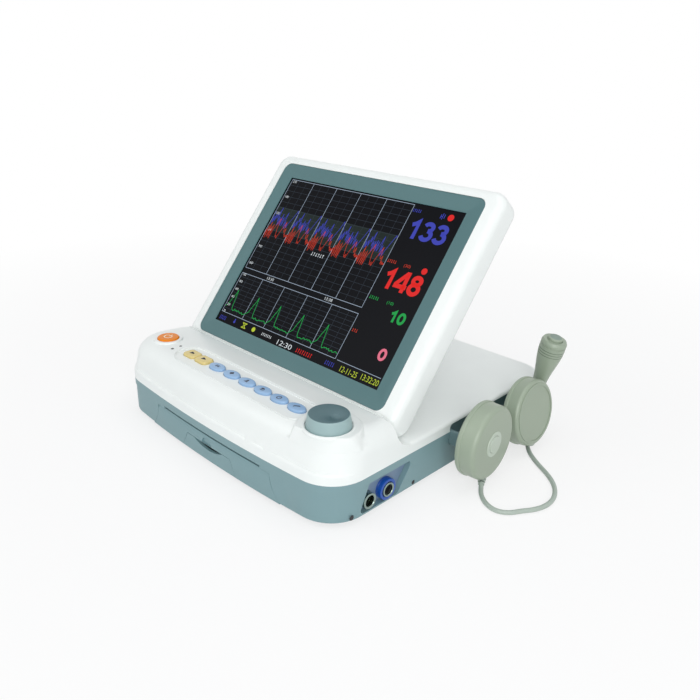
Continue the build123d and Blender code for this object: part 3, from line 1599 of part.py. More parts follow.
def main():
    """Writes every piece to its own file."""
    os.makedirs("parts", exist_ok=True)
    pieces = {
        make.__name__: make for make in (
            upper_case, lower_case, rubber_feet, case_screws, connector_plate, blue_socket, grey_socket,
            transducer_holder, main_board, power_supply, battery_pack, loudspeaker, key_board, encoder_body,
            status_lamps, mains_inlet, earth_stud, printer_frame, print_head, stepper_motor, hinge_leaves,
            power_button, encoder_plunger, encoder_spindle, knob, display_front, display_back, bezel,
            screen_glass, screen_module, display_board, hinge_shafts, paper_drawer, latch_paddle, latch_pins,
            platen_roller, platen_shaft, motor_pinion, toco_front, toco_back, toco_insert, toco_button,
            toco_boot, cord_run, cord_coil, cord_plug, sono_front, sono_back, sono_gland, marker_grip,
            marker_button,
        )
    }
    for name, make in pieces.items():
        export_step(make(), os.path.join("parts", name + ".step"))
    for name, x, kind in key_places():
        piece = key(x, key_row_y, kind, recess_floor + key_rise)
        export_step(piece, os.path.join("parts", name + ".step"))


main()
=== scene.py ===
# %% [markdown]
# # A fetal monitor on a table
# The model is a cardiotocograph: a low white case with a printer drawer in front, a tilting colour
# screen on top, and two round transducers and a hand button parked in a holder on its right.
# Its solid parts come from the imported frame, in metres, and stand where they belong. This script
# dresses them: finishes, the lit picture on the screen, the marks on the keys and the cord.

# %% Load the frame
import random
from math import cos, pi, radians, sin

import bmesh
import bpy
from mathutils import Matrix, Vector, kdtree
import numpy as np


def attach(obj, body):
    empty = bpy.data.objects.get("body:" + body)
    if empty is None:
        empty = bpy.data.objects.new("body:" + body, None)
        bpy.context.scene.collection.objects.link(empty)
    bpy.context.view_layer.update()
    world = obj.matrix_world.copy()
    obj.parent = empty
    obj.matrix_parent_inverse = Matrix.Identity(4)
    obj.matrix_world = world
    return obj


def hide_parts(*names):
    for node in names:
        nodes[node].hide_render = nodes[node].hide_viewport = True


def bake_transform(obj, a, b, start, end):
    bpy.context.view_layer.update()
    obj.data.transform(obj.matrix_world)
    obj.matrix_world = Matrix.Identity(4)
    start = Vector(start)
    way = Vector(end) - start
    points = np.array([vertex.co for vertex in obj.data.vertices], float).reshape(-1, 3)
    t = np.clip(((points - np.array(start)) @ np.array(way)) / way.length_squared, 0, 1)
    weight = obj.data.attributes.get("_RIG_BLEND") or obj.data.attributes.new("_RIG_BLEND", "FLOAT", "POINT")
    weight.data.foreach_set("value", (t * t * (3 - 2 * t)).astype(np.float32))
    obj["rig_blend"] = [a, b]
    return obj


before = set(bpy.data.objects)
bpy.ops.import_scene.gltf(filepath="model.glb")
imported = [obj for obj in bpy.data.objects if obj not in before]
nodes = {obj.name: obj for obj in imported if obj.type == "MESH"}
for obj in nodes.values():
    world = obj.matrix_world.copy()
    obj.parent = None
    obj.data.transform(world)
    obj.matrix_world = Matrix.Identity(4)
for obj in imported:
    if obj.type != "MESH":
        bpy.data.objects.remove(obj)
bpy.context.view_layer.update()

MM = 0.001

# %% [markdown]
# ## Camera
# The photograph was taken from the front right, a little above the screen. A camera is only a place,
# three axes and a focal length, so the solved ones are written straight into its matrix. Aiming by
# hand or with a Track To constraint would also work, but would lose the slight roll of the shot.

# %% The camera
def new_object(name, data):
    """An object in the scene for a mesh, a lamp or a camera."""
    made = bpy.data.objects.new(name, data)
    bpy.context.scene.collection.objects.link(made)
    return made


def axes(x, y, z):
    """The turn that lays the three axes along three directions."""
    return Matrix((x, y, z)).transposed().to_4x4()


camera_place = (0.50735, -0.49812, 0.37405)
camera_right = (0.7113, 0.7025, 0.0236)
camera_up = (-0.2893, 0.2620, 0.9207)
camera_back = (0.6406, -0.6617, 0.3896)
lens_data = bpy.data.cameras.new("camera")
lens_data.lens = 36.66
lens_data.sensor_width = 36
camera = new_object("camera", lens_data)
camera.matrix_world = Matrix.Translation(camera_place) @ axes(camera_right, camera_up, camera_back)
bpy.context.scene.camera = camera
print("camera", round(camera.location.length, 3), "m from the middle of the case")

# %% [markdown]
# ## Colours and nodes
# Colours are easiest to read off a picture as sRGB hex values, but shaders work in linear light, so
# one function turns them over. Others add a shader node and feed its inputs with values and links,
# which keeps each finish down to a few lines that can be read from top to bottom.

# %% Helpers for every finish
def linear(code):
    """Linear colour from an sRGB hex value."""
    parts = [int(code[i:i + 2], 16) / 255 for i in (1, 3, 5)]
    return [c / 12.92 if c <= 0.04045 else ((c + 0.055) / 1.055) ** 2.4 for c in parts] + [1.0]


def shade(colour, factor):
    """A linear colour made lighter or darker."""
    return [min(1.0, value * factor) for value in colour[:3]] + [1.0]


def feed(tree, node, inputs):
    """Sets a node's inputs, or links them where the value is another node's output."""
    for socket, value in inputs.items():
        if isinstance(value, bpy.types.NodeSocket):
            tree.links.new(value, node.inputs[socket])
        else:
            node.inputs[socket].default_value = value
    return node


def add(tree, kind, inputs=None, **settings):
    """Adds a node with its settings and inputs."""
    made = tree.nodes.new(kind)
    for name, value in settings.items():
        setattr(made, name, value)
    return feed(tree, made, inputs or {})


def new_finish(name):
    """An empty material, its tree, its Principled shader and the object coordinates."""
    material = bpy.data.materials.new(name)
    material.use_nodes = True
    tree = material.node_tree
    tree.nodes.clear()
    shader = add(tree, "ShaderNodeBsdfPrincipled")
    add(tree, "ShaderNodeOutputMaterial", {"Surface": shader.outputs["BSDF"]})
    where = add(tree, "ShaderNodeTexCoord").outputs["Object"]
    return material, tree, shader, where


print("sRGB #808080 is", round(linear("#808080")[0], 3), "in linear light")

# %% [markdown]
# Two habits of real surfaces come back in nearly every finish: the tone wanders a little, and the
# same fine grain that breaks up the gloss also stands up as a relief.

# %% Wandering tone and grain
def drifting(tree, where, scale, detail, dark, light):
    """A colour that a noise moves between two tones."""
    cloud = add(tree, "ShaderNodeTexNoise", {"Vector": where, "Scale": scale, "Detail": detail})
    mixed = add(tree, "ShaderNodeMix", {0: cloud.outputs["Fac"], 6: dark, 7: light}, data_type="RGBA")
    return mixed.outputs[2]


def grained(tree, shader, noise, smoothest, roughest, strength, depth):
    """One noise rules the roughness and the relief, whose depth is in millimetres."""
    gloss = add(tree, "ShaderNodeMapRange", {"Value": noise, "To Min": smoothest, "To Max": roughest})
    bump = add(tree, "ShaderNodeBump", {"Height": noise, "Strength": strength, "Distance": depth * MM})
    feed(tree, shader, {"Roughness": gloss.outputs["Result"], "Normal": bump.outputs["Normal"]})


# %% [markdown]
# ## Frames and pieces
# The screen's picture and the marks on the keys are thin flat shapes. They are drawn in a flat frame
# of their own, x across and y up, and one matrix then lays that frame on the surface. The display's
# frame starts on the hinge axis and leans back with it. Every piece is drawn in millimetres.

# %% Flat frames and finished pieces
def at(place):
    """The matrix that moves a shape to a place in millimetres."""
    return Matrix.Translation([MM * value for value in place])


raised = 51.5
tilt = radians(raised)
hinge_line = (0, -64.5, 70)
display_frame = at(hinge_line) @ axes((1, 0, 0), (0, cos(tilt), sin(tilt)), (0, -sin(tilt), cos(tilt)))
print("display raised", raised, "degrees from flat")


def show(mesh, name, material, body, slot):
    """Makes a piece from a finished mesh and lets it ride on a body."""
    piece = new_object(name, mesh)
    mesh.materials.append(material)
    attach(piece, body)
    return piece


def settle(build, name, place=None):
    """Turns a bmesh drawn in millimetres into a mesh in metres, in its place."""
    mesh = bpy.data.meshes.new(name)
    bmesh.ops.scale(build, vec=(MM, MM, MM), verts=build.verts)
    if place:
        bmesh.ops.transform(build, matrix=place, verts=build.verts)
    build.to_mesh(mesh)
    build.free()
    return mesh


def curve_along(name, kind, places):
    """A curve of one spline through or along places in millimetres, and that spline."""
    curve = bpy.data.curves.new(name, "CURVE")
    curve.dimensions = "3D"
    spline = curve.splines.new(kind)
    spline.points.add(len(places) - 1)
    for point, place in zip(spline.points, places):
        point.co = (*[MM * value for value in place], 1.0)
    return curve, spline


def mesh_of(data):
    """The mesh of a curve or of figures, made by way of an object that is then removed."""
    source = bpy.data.objects.new(data.name + "_source", data)
    mesh = bpy.data.meshes.new_from_object(source)
    bpy.data.objects.remove(source)
    return mesh


# %% [markdown]
# ## The cord
# The contraction transducer hangs on a thin round lead, 4.5 mm across, about 2.1 m long. It drops
# from its strain relief to the table, curls in front of the discs as the photograph shows, and runs
# back along the case. The rest is put away as a neat coil behind the case, with the plug beside it.
# A free cord could be simulated, but it would fall elsewhere each time. Here its route is a NURBS
# spline: the route's points pull it along without kinks, and a coil is simply more points.

# %% Route of the cord
cord_diameter = 4.5 * MM
route = [
    (206.7, -8.2, 4.6), (209.25, -12.21, 2.48), (215.2, -20.0, 2.3), (225.5, -27.8, 2.3),
    (237.5, -30.4, 2.3), (247.5, -24.5, 2.3), (253.5, -13.5, 2.3), (260.5, -3.5, 2.3),
    (265.0, 10.0, 2.3), (263.5, 26.0, 2.3), (255.0, 42.0, 2.3), (240.0, 55.5, 2.3),
    (220.5, 66.5, 2.3), (202.0, 80.5, 2.3), (188.5, 100.5, 2.3), (180.5, 126.0, 2.3),
    (177.8, 152.0, 2.3), (171.5, 174.0, 2.3), (155.0, 188.0, 2.3), (132.0, 192.0, 2.3),
    (107.0, 189.0, 2.3), (81.0, 185.0, 2.3), (52.0, 183.0, 2.3), (20.0, 181.0, 2.3),
    (-8.0, 182.0, 2.3), (-28.0, 182.0, 2.3),
]

# %% [markdown]
# The coil is wound like a real one: each half turn is a little smaller than the last until the layer
# is full, then the cord climbs one diameter and winds outwards again. Sixteen points go to a turn,
# set just outside it, because a spline of order 3 touches the middle of each side between points.

# %% Points of the coil and of its fall to the plug
coil_middle = (-36.0, 210.5)
coil_radius, coil_pitch = 28.5, 5.95
layers, halves, steps = 4, 6, 8
radius, height, side = coil_radius, 2.3, -1
for half in range(layers * halves):
    layer = half // halves
    climbs = half % halves == halves - 1 and layer < layers - 1
    grown = 0.0 if climbs else coil_pitch / 2
    after = radius - grown if layer % 2 == 0 else radius + grown
    middle = coil_middle[1] + side * (radius - after) / 2
    out = (radius + after) / 2 / cos(pi / (2 * steps))
    for step in range(steps):
        turn = pi * (step + 0.5) / steps
        lift = coil_pitch * (step + 0.5) / steps if climbs else 0.0
        across, along = side * out * sin(turn), side * out * cos(turn)
        route.append((coil_middle[0] + across, middle + along, height + lift))
    radius = after
    height += coil_pitch if climbs else 0.0
    side = -side
end_y, plug_height = coil_middle[1] - radius, 8.5
for step_back, level in ((0.0, height), (11.2, height), (30.4, plug_height), (38.6, plug_height),
                         (46.05, plug_height)):
    route.append((coil_middle[0] - step_back, end_y, level))
print("cord: points", len(route), "coil ends", round(radius, 1), "mm out at height", round(height, 1))

# %% [markdown]
# The order of a spline is set after its points are added, or Blender leaves it at straight runs. A
# copy without thickness gives the centreline, and the same curve with a bevel gives the tube. The
# tube later gets one special value per vertex: how far it follows the case rather than the disc, so
# that the first stretch lifts off the table with the transducer while the rest stays put.

# %% The cord's tube
line, spline = curve_along("cord_line", "NURBS", route)
spline.order_u = 3
spline.use_endpoint_u = True
line.resolution_u = 4
path = [vertex.co.copy() for vertex in mesh_of(line).vertices]
travelled = [0.0]
for before, here in zip(path, path[1:]):
    travelled.append(travelled[-1] + (here - before).length)
line.bevel_depth = cord_diameter / 2
line.bevel_resolution = 3
line.use_fill_caps = True
tube = mesh_of(line)
print("cord: length", round(travelled[-1], 3), "m, tube faces", len(tube.polygons))

# %% [markdown]
# ## Floor and light
# Studio shots of equipment use large soft lamps and a pale sweep. The strongest lamp stands at the
# front right, on the side that the camera sees; weaker ones hang above and stand at the front left.
# The floor is a large plane that keeps the shadow. The world is plain white for the camera and for
# reflections but gentle as a light, so that white plastic keeps its shading.

# %% Floor
floor_build = bmesh.new()
bmesh.ops.create_grid(floor_build, x_segments=1, y_segments=1, size=6000)
floor_paper, floor_tree, floor_shader, floor_where = new_finish("pale_paper_sweep")
paper_tone = drifting(floor_tree, floor_where, 900.0, 3.0, [0.93] * 3 + [1.0], [0.96] * 3 + [1.0])
feed(floor_tree, floor_shader, {"Base Color": paper_tone, "Roughness": 0.9})


def background_rays(tree):
    """1 for rays from the camera, from gloss or through glass, and 0 for the light itself."""
    rays = add(tree, "ShaderNodeLightPath")
    shiny = add(tree, "ShaderNodeMath", {
        0: rays.outputs["Is Glossy Ray"], 1: rays.outputs["Is Transmission Ray"]}, operation="MAXIMUM")
    return add(tree, "ShaderNodeMath", {
        0: rays.outputs["Is Camera Ray"], 1: shiny.outputs["Value"]}, operation="MAXIMUM").outputs["Value"]


glow = add(floor_tree, "ShaderNodeEmission", {"Color": linear("#FFFFFF"), "Strength": 1.0})
away = add(floor_tree, "ShaderNodeVectorMath", {0: floor_where}, operation="LENGTH")
whiter = add(floor_tree, "ShaderNodeMapRange", {
    "Value": away.outputs["Value"], "From Min": 0.2, "From Max": 0.9, "To Min": 0.7, "To Max": 1.0})
part_seen = add(floor_tree, "ShaderNodeMath", {
    0: background_rays(floor_tree), 1: whiter.outputs["Result"]}, operation="MULTIPLY")
floor_mix = add(floor_tree, "ShaderNodeMixShader", {
    "Fac": part_seen.outputs["Value"], 1: floor_shader.outputs["BSDF"], 2: glow.outputs["Emission"]})
floor_end = next(node for node in floor_tree.nodes if node.type == "OUTPUT_MATERIAL")
feed(floor_tree, floor_end, {"Surface": floor_mix.outputs["Shader"]})
floor_mesh = settle(floor_build, "floor")
floor_mesh.materials.append(floor_paper)
floor = new_object("floor", floor_mesh)
print("floor:", round(floor.dimensions.x, 2), "m wide")

# %% World and lamps
world = bpy.data.worlds.new("studio")
bpy.context.scene.world = world
world.use_nodes = True
sky = world.node_tree
sky.nodes.clear()
soft = add(sky, "ShaderNodeBackground", {"Color": linear("#F4F7FA"), "Strength": 0.46})
bright = add(sky, "ShaderNodeBackground", {"Color": linear("#FFFFFF"), "Strength": 1.0})
both = add(sky, "ShaderNodeMixShader", {
    "Fac": background_rays(sky), 1: soft.outputs["Background"], 2: bright.outputs["Background"]})
add(sky, "ShaderNodeOutputWorld", {"Surface": both.outputs["Shader"]})


def soft_lamp(name, place, aim, size, watts):
    """A square soft box aimed at a point."""
    data = bpy.data.lights.new(name, "AREA")
    data.size = size
    data.energy = watts
    lamp = new_object(name, data)
    lamp.location = place
    lamp.rotation_euler = (Vector(aim) - Vector(place)).to_track_quat("-Z", "Y").to_euler()


soft_lamp("front_left_box", (-1.1, -1.6, 1.5), (0, 0, 0.1), 1.2, 6.5)
soft_lamp("top_box", (0.3, 0.1, 2.0), (0, 0, 0.0), 1.6, 9.5)
soft_lamp("right_box", (1.55, -1.3, 1.0), (0, 0, 0.1), 1.2, 21.5)
bpy.context.scene.view_settings.view_transform = "Standard"

# %% [markdown]
# ## Moulded plastics
# Nearly all of the outside is ABS, moulded in steel tools. A mould's surface is eroded by sparks or
# stoned to a satin, so the plastic carries a fine even grain, and its tone drifts a little over a
# large wall where it cooled at different speeds. An image texture could show that, but noise read
# from object coordinates needs no unwrapping and holds at any distance.

# %% A finish for moulded plastic
def moulded(name, colour, roughness, grain, relief, drift=0.03, ior=1.53, specular=0.5):
    """Moulded plastic with a grain and a relief in millimetres and a slow drift of tone."""
    material, tree, shader, where = new_finish(name)
    base = linear(colour)
    tone = drifting(tree, where, 22.0, 2.0, shade(base, 1 - drift), shade(base, 1 + drift))
    spark = add(tree, "ShaderNodeTexNoise", {"Vector": where, "Scale": 1000.0 / grain, "Detail": 2.0})
    grained(tree, shader, spark.outputs["Fac"], roughness - 0.06, roughness + 0.06, 0.5, relief)
    feed(tree, shader, {"Base Color": tone, "IOR": ior, "Specular IOR Level": specular})
    return material


# Satin white ABS: a stoned mould leaves a soft sheen with only a breath of grain.
satin_white_abs = moulded("satin_white_abs", "#EEF2F0", 0.34, 0.9, 0.005)
# Spark-eroded grey-green ABS: a coarser, duller grain that hides scuffs low on the case.
spark_grey_abs = moulded("spark_grey_green_abs", "#7A999E", 0.46, 0.8, 0.03)
# The transducer holder comes from a tool of the same kind, in a darker grey.
holder_abs = moulded("holder_grey_abs", "#6F898D", 0.45, 0.8, 0.03)
# The darker surround of the screen is painted ABS, so its gloss is even and its grain almost gone.
painted_bezel = moulded("painted_bezel_abs", "#426A6D", 0.4, 1.2, 0.008, drift=0.04)
# Key caps are glossy tinted acrylic over print.
amber_cap = moulded("amber_key_acrylic", "#E0CB85", 0.24, 1.5, 0.005, drift=0.05, ior=1.49)
sky_cap = moulded("sky_blue_key_acrylic", "#94B7DC", 0.22, 1.5, 0.005, drift=0.06, ior=1.49)
# The orange cap's lacquer is duller than bare acrylic, so its orange stays deep under the lamps.
orange_cap = moulded("orange_key_acrylic", "#EC8616", 0.24, 1.5, 0.005, drift=0.05, ior=1.49, specular=0.2)
# The probes' shells are a warmer polycarbonate blend, moulded smooth for cleaning.
probe_shell_plastic = moulded("sage_probe_polycarbonate", "#98A592", 0.38, 0.9, 0.01, drift=0.035, ior=1.58)
probe_pale_plastic = moulded("pale_probe_polycarbonate", "#B7C3B4", 0.34, 0.9, 0.01, drift=0.03, ior=1.58)
# A lead's jacket is soft PVC, drawn through a die: smooth and half matt.
cable_jacket = moulded("grey_pvc_cable_jacket", "#A9B5AB", 0.44, 0.6, 0.01, drift=0.05)
# Feet and the paper roller are filled rubber, nearly black and without any shine.
foot_rubber = moulded("black_foot_rubber", "#2E3032", 0.78, 0.6, 0.05, drift=0.12)
# Plugs, motors and switches have bodies of black nylon, with a slightly mottled half gloss.
black_nylon = moulded("black_moulded_nylon", "#25272A", 0.5, 0.7, 0.02, drift=0.1)
# The coloured socket is polished in its mould, so the blue looks deep and shiny.
connector_blue = moulded("blue_connector_nylon", "#114CA6", 0.3, 1.0, 0.01, drift=0.08)
# The plate round the sockets is blue-grey ABS with a dull, even face.
connector_panel = moulded("blue_grey_connector_panel", "#758AA2", 0.42, 0.9, 0.015, drift=0.04)
# A battery pack is closed in shrunk PVC film, glossy and slightly wavy over its cells.
shrink_wrap = moulded("blue_battery_shrink_wrap", "#2B4F8C", 0.28, 2.5, 0.04, drift=0.1)
# A loudspeaker's cone is pressed paper, matt and full of fibres.
speaker_paper = moulded("black_speaker_paper", "#2A2B2C", 0.85, 0.5, 0.08, drift=0.15)
# Lamp lenses are smoked acrylic, dark and very smooth.
lamp_lens = moulded("smoked_lamp_lens", "#3F4A48", 0.15, 1.0, 0.004, drift=0.05, ior=1.49)
print("materials so far:", len(bpy.data.materials))

# %% [markdown]
# The knob is two-shot ABS: a darker soft-touch cap on a paler skirt. How far a point is from the
# knob's axis decides its tone, and object coordinates keep that distance while the knob turns.

# %% The knob's two tones
knob_touch = moulded("soft_touch_knob_abs", "#98B2B3", 0.42, 0.7, 0.02)
knob_axis, cap_radius, cap_blur = (131.0, -132.5), 17.4, 0.2
knob_tree = knob_touch.node_tree
knob_shader = next(node for node in knob_tree.nodes if node.type == "BSDF_PRINCIPLED")
knob_skirt = knob_shader.inputs["Base Color"].links[0].from_socket
knob_place = add(knob_tree, "ShaderNodeMapping", {
    "Vector": add(knob_tree, "ShaderNodeTexCoord").outputs["Object"],
    "Location": (-knob_axis[0] * MM, -knob_axis[1] * MM, 0), "Scale": (1, 1, 0)})
knob_reach = add(knob_tree, "ShaderNodeVectorMath", {0: knob_place.outputs["Vector"]}, operation="LENGTH")
knob_step = add(knob_tree, "ShaderNodeMapRange", {
    "Value": knob_reach.outputs["Value"],
    "From Min": (cap_radius + cap_blur) * MM, "From Max": (cap_radius - cap_blur) * MM})
knob_tone = add(knob_tree, "ShaderNodeMix", {
    0: knob_step.outputs["Result"], 6: knob_skirt, 7: linear("#506D73")}, data_type="RGBA")
feed(knob_tree, knob_shader, {"Base Color": knob_tone.outputs[2]})
print("knob: cap ends", cap_radius, "mm from its axis")

# %% [markdown]
# ## Metals
# Metals show how they were worked: drawn and turned steel has fine lines, zinc plate has a cloudy
# spangle. Here one stretched noise gives the lines and another clouds the tone. Metallic is 1 and
# the colour alone tells brass from steel.

# %% A finish for worked metal
def worked_metal(name, colour, roughness, line):
    """Metal with tool lines a set number of millimetres apart, running along X."""
    material, tree, shader, where = new_finish(name)
    stretch = add(tree, "ShaderNodeMapping", {"Vector": where, "Scale": (0.05, 1, 1)})
    lines = add(tree, "ShaderNodeTexNoise", {
        "Vector": stretch.outputs["Vector"], "Scale": 1000.0 / line, "Detail": 3.0})
    base = linear(colour)
    tone = drifting(tree, where, 90.0, 2.0, shade(base, 0.86), base)
    grained(tree, shader, lines.outputs["Fac"], roughness - 0.08, roughness + 0.12, 0.4, 0.01)
    feed(tree, shader, {"Base Color": tone, "Metallic": 1.0})
    return material


# Screws, shafts and pins are drawn bar: bright, with close lines.
drawn_steel = worked_metal("drawn_steel", "#C9CCCE", 0.3, 0.4)
# Brackets and boxes are zinc-plated sheet, duller and more cloudy.
zinc_steel = worked_metal("zinc_plated_sheet_steel", "#B9BDC2", 0.38, 0.8)
# Brass fresh from the lathe is yellow and shiny.
yellow_brass = worked_metal("turned_brass", "#D8B765", 0.28, 0.4)
# Nickel over brass has a warmer, greener grey than steel and the smoothest face.
nickel_ring = worked_metal("nickel_plated_brass", "#94A59F", 0.22, 0.5)
# Extruded aluminium is pale, with the die's lines along it.
finned_aluminium = worked_metal("extruded_aluminium", "#D0D2D4", 0.34, 0.5)
print("materials so far, with the metals:", len(bpy.data.materials))

# %% [markdown]
# ## Circuit boards
# A board is glass epoxy under a green varnish. The copper below shows as paler tracks, so a brick
# pattern stretched over the board stands for them, and the varnish keeps a clear gloss.

# %% Board finish
varnish = linear("#1F6B43")
track_pitch, track_relief = 6.0, 0.03
green_board, board_tree, board_shader, board_where = new_finish("green_varnished_board")
tracks = add(board_tree, "ShaderNodeTexBrick", {
    "Vector": board_where, "Scale": 1000.0 / track_pitch, "Color1": varnish,
    "Color2": shade(varnish, 1.25), "Mortar": shade(varnish, 1.9), "Mortar Size": 0.03})
board_bump = add(board_tree, "ShaderNodeBump", {
    "Height": tracks.outputs["Fac"], "Strength": 0.4, "Distance": track_relief * MM})
feed(board_tree, board_shader, {
    "Base Color": tracks.outputs["Color"], "Normal": board_bump.outputs["Normal"], "Roughness": 0.32})
print("board tracks every", track_pitch, "mm")

# %% [markdown]
# ## The screen's glass
# A lit liquid crystal panel is not black paint: its backlight leaks a little, so black shows as a
# very dark blue-grey, and a fine dot pattern breaks up reflections. A low specular level stands for
# the panel's anti-glare film.

# %% Panel finish
panel_film, panel_tree, panel_shader, panel_where = new_finish("anti_glare_panel_film")
leak = drifting(panel_tree, panel_where, 1500.0, 1.0, linear("#050609"), linear("#0B0C11"))
feed(panel_tree, panel_shader, {"Base Color": leak, "Emission Color": leak, "Emission Strength": 0.35,
                                "Roughness": 0.22, "Specular IOR Level": 0.05})


def lit(name, colour):
    """A lit pixel colour; the small dots of the panel show as a faint unevenness."""
    material, tree, shader, where = new_finish(name)
    base = linear(colour)
    tone = drifting(tree, where, 1400.0, 1.0, shade(base, 0.82), base)
    feed(tree, shader, {"Base Color": linear("#101114"), "Emission Color": tone, "Emission Strength": 0.9,
                        "Roughness": 0.3, "Specular IOR Level": 0.08})
    return material


pale_pixels = lit("pale_blue_pixels", "#A9B9CC")
faint_pixels = lit("faint_grid_pixels", "#333D49")
band_pixels = lit("dark_green_band_pixels", "#10201A")
blue_pixels = lit("indigo_pixels", "#3F47BE")
red_pixels = lit("red_pixels", "#F0231E")
rust_pixels = lit("trace_red_pixels", "#D03A22")
green_pixels = lit("green_pixels", "#18AA4C")
pink_pixels = lit("pink_pixels", "#F47A94")
yellow_pixels = lit("yellow_green_pixels", "#C6D93A")
white_pixels = lit("white_pixels", "#E6EEF2")
print("materials so far, with the screen's:", len(bpy.data.materials))

# %% [markdown]
# ## Smooth shading without touching the frame's meshes
# The frame's parts arrive as loose flat triangles. Shading them smooth by hand would change them, so
# a small geometry-nodes modifier does it on the fly: it welds the corners, shades all smooth, and
# keeps edges sharper than 42 degrees crisp.

# %% Smoothing modifier
smoother = bpy.data.node_groups.new("smooth_under_42_degrees", "GeometryNodeTree")
smoother.interface.new_socket("Geometry", in_out="INPUT", socket_type="NodeSocketGeometry")
smoother.interface.new_socket("Geometry", in_out="OUTPUT", socket_type="NodeSocketGeometry")
given = add(smoother, "NodeGroupInput")
welded = add(smoother, "GeometryNodeMergeByDistance", {"Geometry": given.outputs[0], "Distance": 0.01 * MM})
rounded = add(smoother, "GeometryNodeSetShadeSmooth", {"Geometry": welded.outputs[0]}, domain="FACE")
corner = add(smoother, "GeometryNodeInputMeshEdgeAngle")
gentle = add(smoother, "FunctionNodeCompare", {0: corner.outputs[0], 1: radians(42)},
             operation="LESS_EQUAL")
crisp = add(smoother, "GeometryNodeSetShadeSmooth", {
    "Geometry": rounded.outputs[0], "Shade Smooth": gentle.outputs[0]}, domain="EDGE")
add(smoother, "NodeGroupOutput", {"Geometry": crisp.outputs[0]})


def dress(material, *names):
    """Gives nodes of the frame their finish and smooth shading."""
    for name in names:
        piece = nodes[name]
        piece.data.materials.clear()
        piece.data.materials.append(material)
        piece.modifiers.new("smooth", "NODES").node_group = smoother


dress(satin_white_abs, "upper_case", "display_front", "display_back")
dress(spark_grey_abs, "lower_case", "paper_drawer", "latch_paddle")
dress(holder_abs, "transducer_holder")
dress(painted_bezel, "bezel")
dress(knob_touch, "knob")
dress(amber_cap, "print_key", "feed_key")
dress(sky_cap, "mute_key", "zero_key", "mark_key", "mode_key", "clock_key", "menu_key")
dress(orange_cap, "power_button")
dress(panel_film, "screen_glass")
dress(probe_shell_plastic, "toco_front", "toco_back", "sono_front", "sono_back", "marker_grip",
      "marker_button")
dress(probe_pale_plastic, "toco_button", "toco_insert")
dress(cable_jacket, "toco_boot", "sono_gland", "cord_plug")
dress(foot_rubber, "rubber_feet", "platen_roller")
dress(black_nylon, "mains_inlet", "encoder_body", "encoder_plunger", "screen_module", "stepper_motor")
dress(connector_blue, "blue_socket")
dress(connector_panel, "connector_plate")
dress(nickel_ring, "grey_socket", "earth_stud")
dress(drawn_steel, "case_screws", "encoder_spindle", "hinge_shafts", "latch_pins", "platen_shaft")
dress(zinc_steel, "hinge_leaves", "printer_frame", "power_supply")
dress(finned_aluminium, "print_head")
dress(yellow_brass, "motor_pinion")
dress(green_board, "main_board", "key_board", "display_board")
dress(shrink_wrap, "battery_pack")
dress(speaker_paper, "loudspeaker")
dress(lamp_lens, "status_lamps")
bare = [name for name, piece in nodes.items() if not piece.modifiers and not name.startswith("cord_")]
print("nodes without a finish:", bare)

# %% [markdown]
# ## The cord on the table
# The tube made above gets its jacket and is declared a free cord. It bends between two bodies: the
# disc holds its first end and the case its rest. The blend call measures along one straight line,
# which can't tell a coil from its start, so the value is then written again from the distance along
# the cord itself: none of it moves 130 mm from the strain relief.

# %% The cord joins the model
cord = new_object("contraction_cord", tube)
tube.materials.append(cable_jacket)
tube.polygons.foreach_set("use_smooth", [True] * len(tube.polygons))
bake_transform(cord, "toco", "base", start=path[0], end=path[0] + Vector((0.06, 0, 0)))
nearest = kdtree.KDTree(len(path))
for index, place in enumerate(path):
    nearest.insert(place, index)
nearest.balance()
free_stretch = 0.13
shares = []
for vertex in tube.vertices:
    part = min(1.0, travelled[nearest.find(vertex.co)[1]] / free_stretch)
    shares.append(part * part * (3 - 2 * part))
tube.attributes["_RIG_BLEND"].data.foreach_set("value", shares)
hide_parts("cord_run", "cord_coil")
print("cord vertices that lift with the disc:", sum(1 for share in shares if share < 1))

# %% [markdown]
# A put-away coil is held by ties. Each is a strip of hook-and-loop tape round the whole bundle: the
# outline of a rounded rectangle, extruded by the tape's width and given a thickness.

# %% Ties round the coil
bundle_shift, tape_width, tape_thickness = -0.8, 11.0, 0.5


def coil_tie(name, angle):
    """A tape ring round the coil's bundle, at an angle round the coil."""
    build = bmesh.new()
    inner, outer, low, high = 10.9, 34.2, 0.6, 22.9
    corners = [(inner, low), (outer, low), (outer, high), (inner, high)]
    build.faces.new([build.verts.new((x, -tape_width / 2, z)) for x, z in corners])
    bmesh.ops.bevel(build, geom=build.verts[:], offset=3.0, segments=4, affect="VERTICES",
                    profile=0.5, material=-1)
    bmesh.ops.delete(build, geom=build.faces[:], context="FACES_ONLY")
    drawn = bmesh.ops.extrude_edge_only(build, edges=build.edges[:])["geom"]
    far = [v for v in drawn if isinstance(v, bmesh.types.BMVert)]
    bmesh.ops.translate(build, vec=(0, tape_width, 0), verts=far)
    bmesh.ops.recalc_face_normals(build, faces=build.faces[:])
    bmesh.ops.solidify(build, geom=build.faces[:], thickness=-tape_thickness)
    place = at((coil_middle[0], coil_middle[1] + bundle_shift, 0)) @ Matrix.Rotation(angle, 4, "Z")
    return show(settle(build, name, place), name, black_nylon, "base", "black_plastic")


ties = [coil_tie("coil_tie_" + str(i), radians(angle)) for i, angle in enumerate((90, 210))]
print("ties:", len(ties), "of tape", tape_width, "mm wide")

# %% [markdown]
# ## The picture on the screen
# The panel shows two graphs on the left, heart rate above and uterine activity below, and large
# numbers on the right. Each line is a very thin flat strip laid on the glass, drawn in millimetres
# in the display's own frame. A painted image would need a file; strips stay sharp at any distance.

# %% Strips and dots on a surface
screen_level, print_step = 12.76, 0.03
figure_level = screen_level + 3 * print_step
on_glass = (display_frame, "display", "screen_glass")


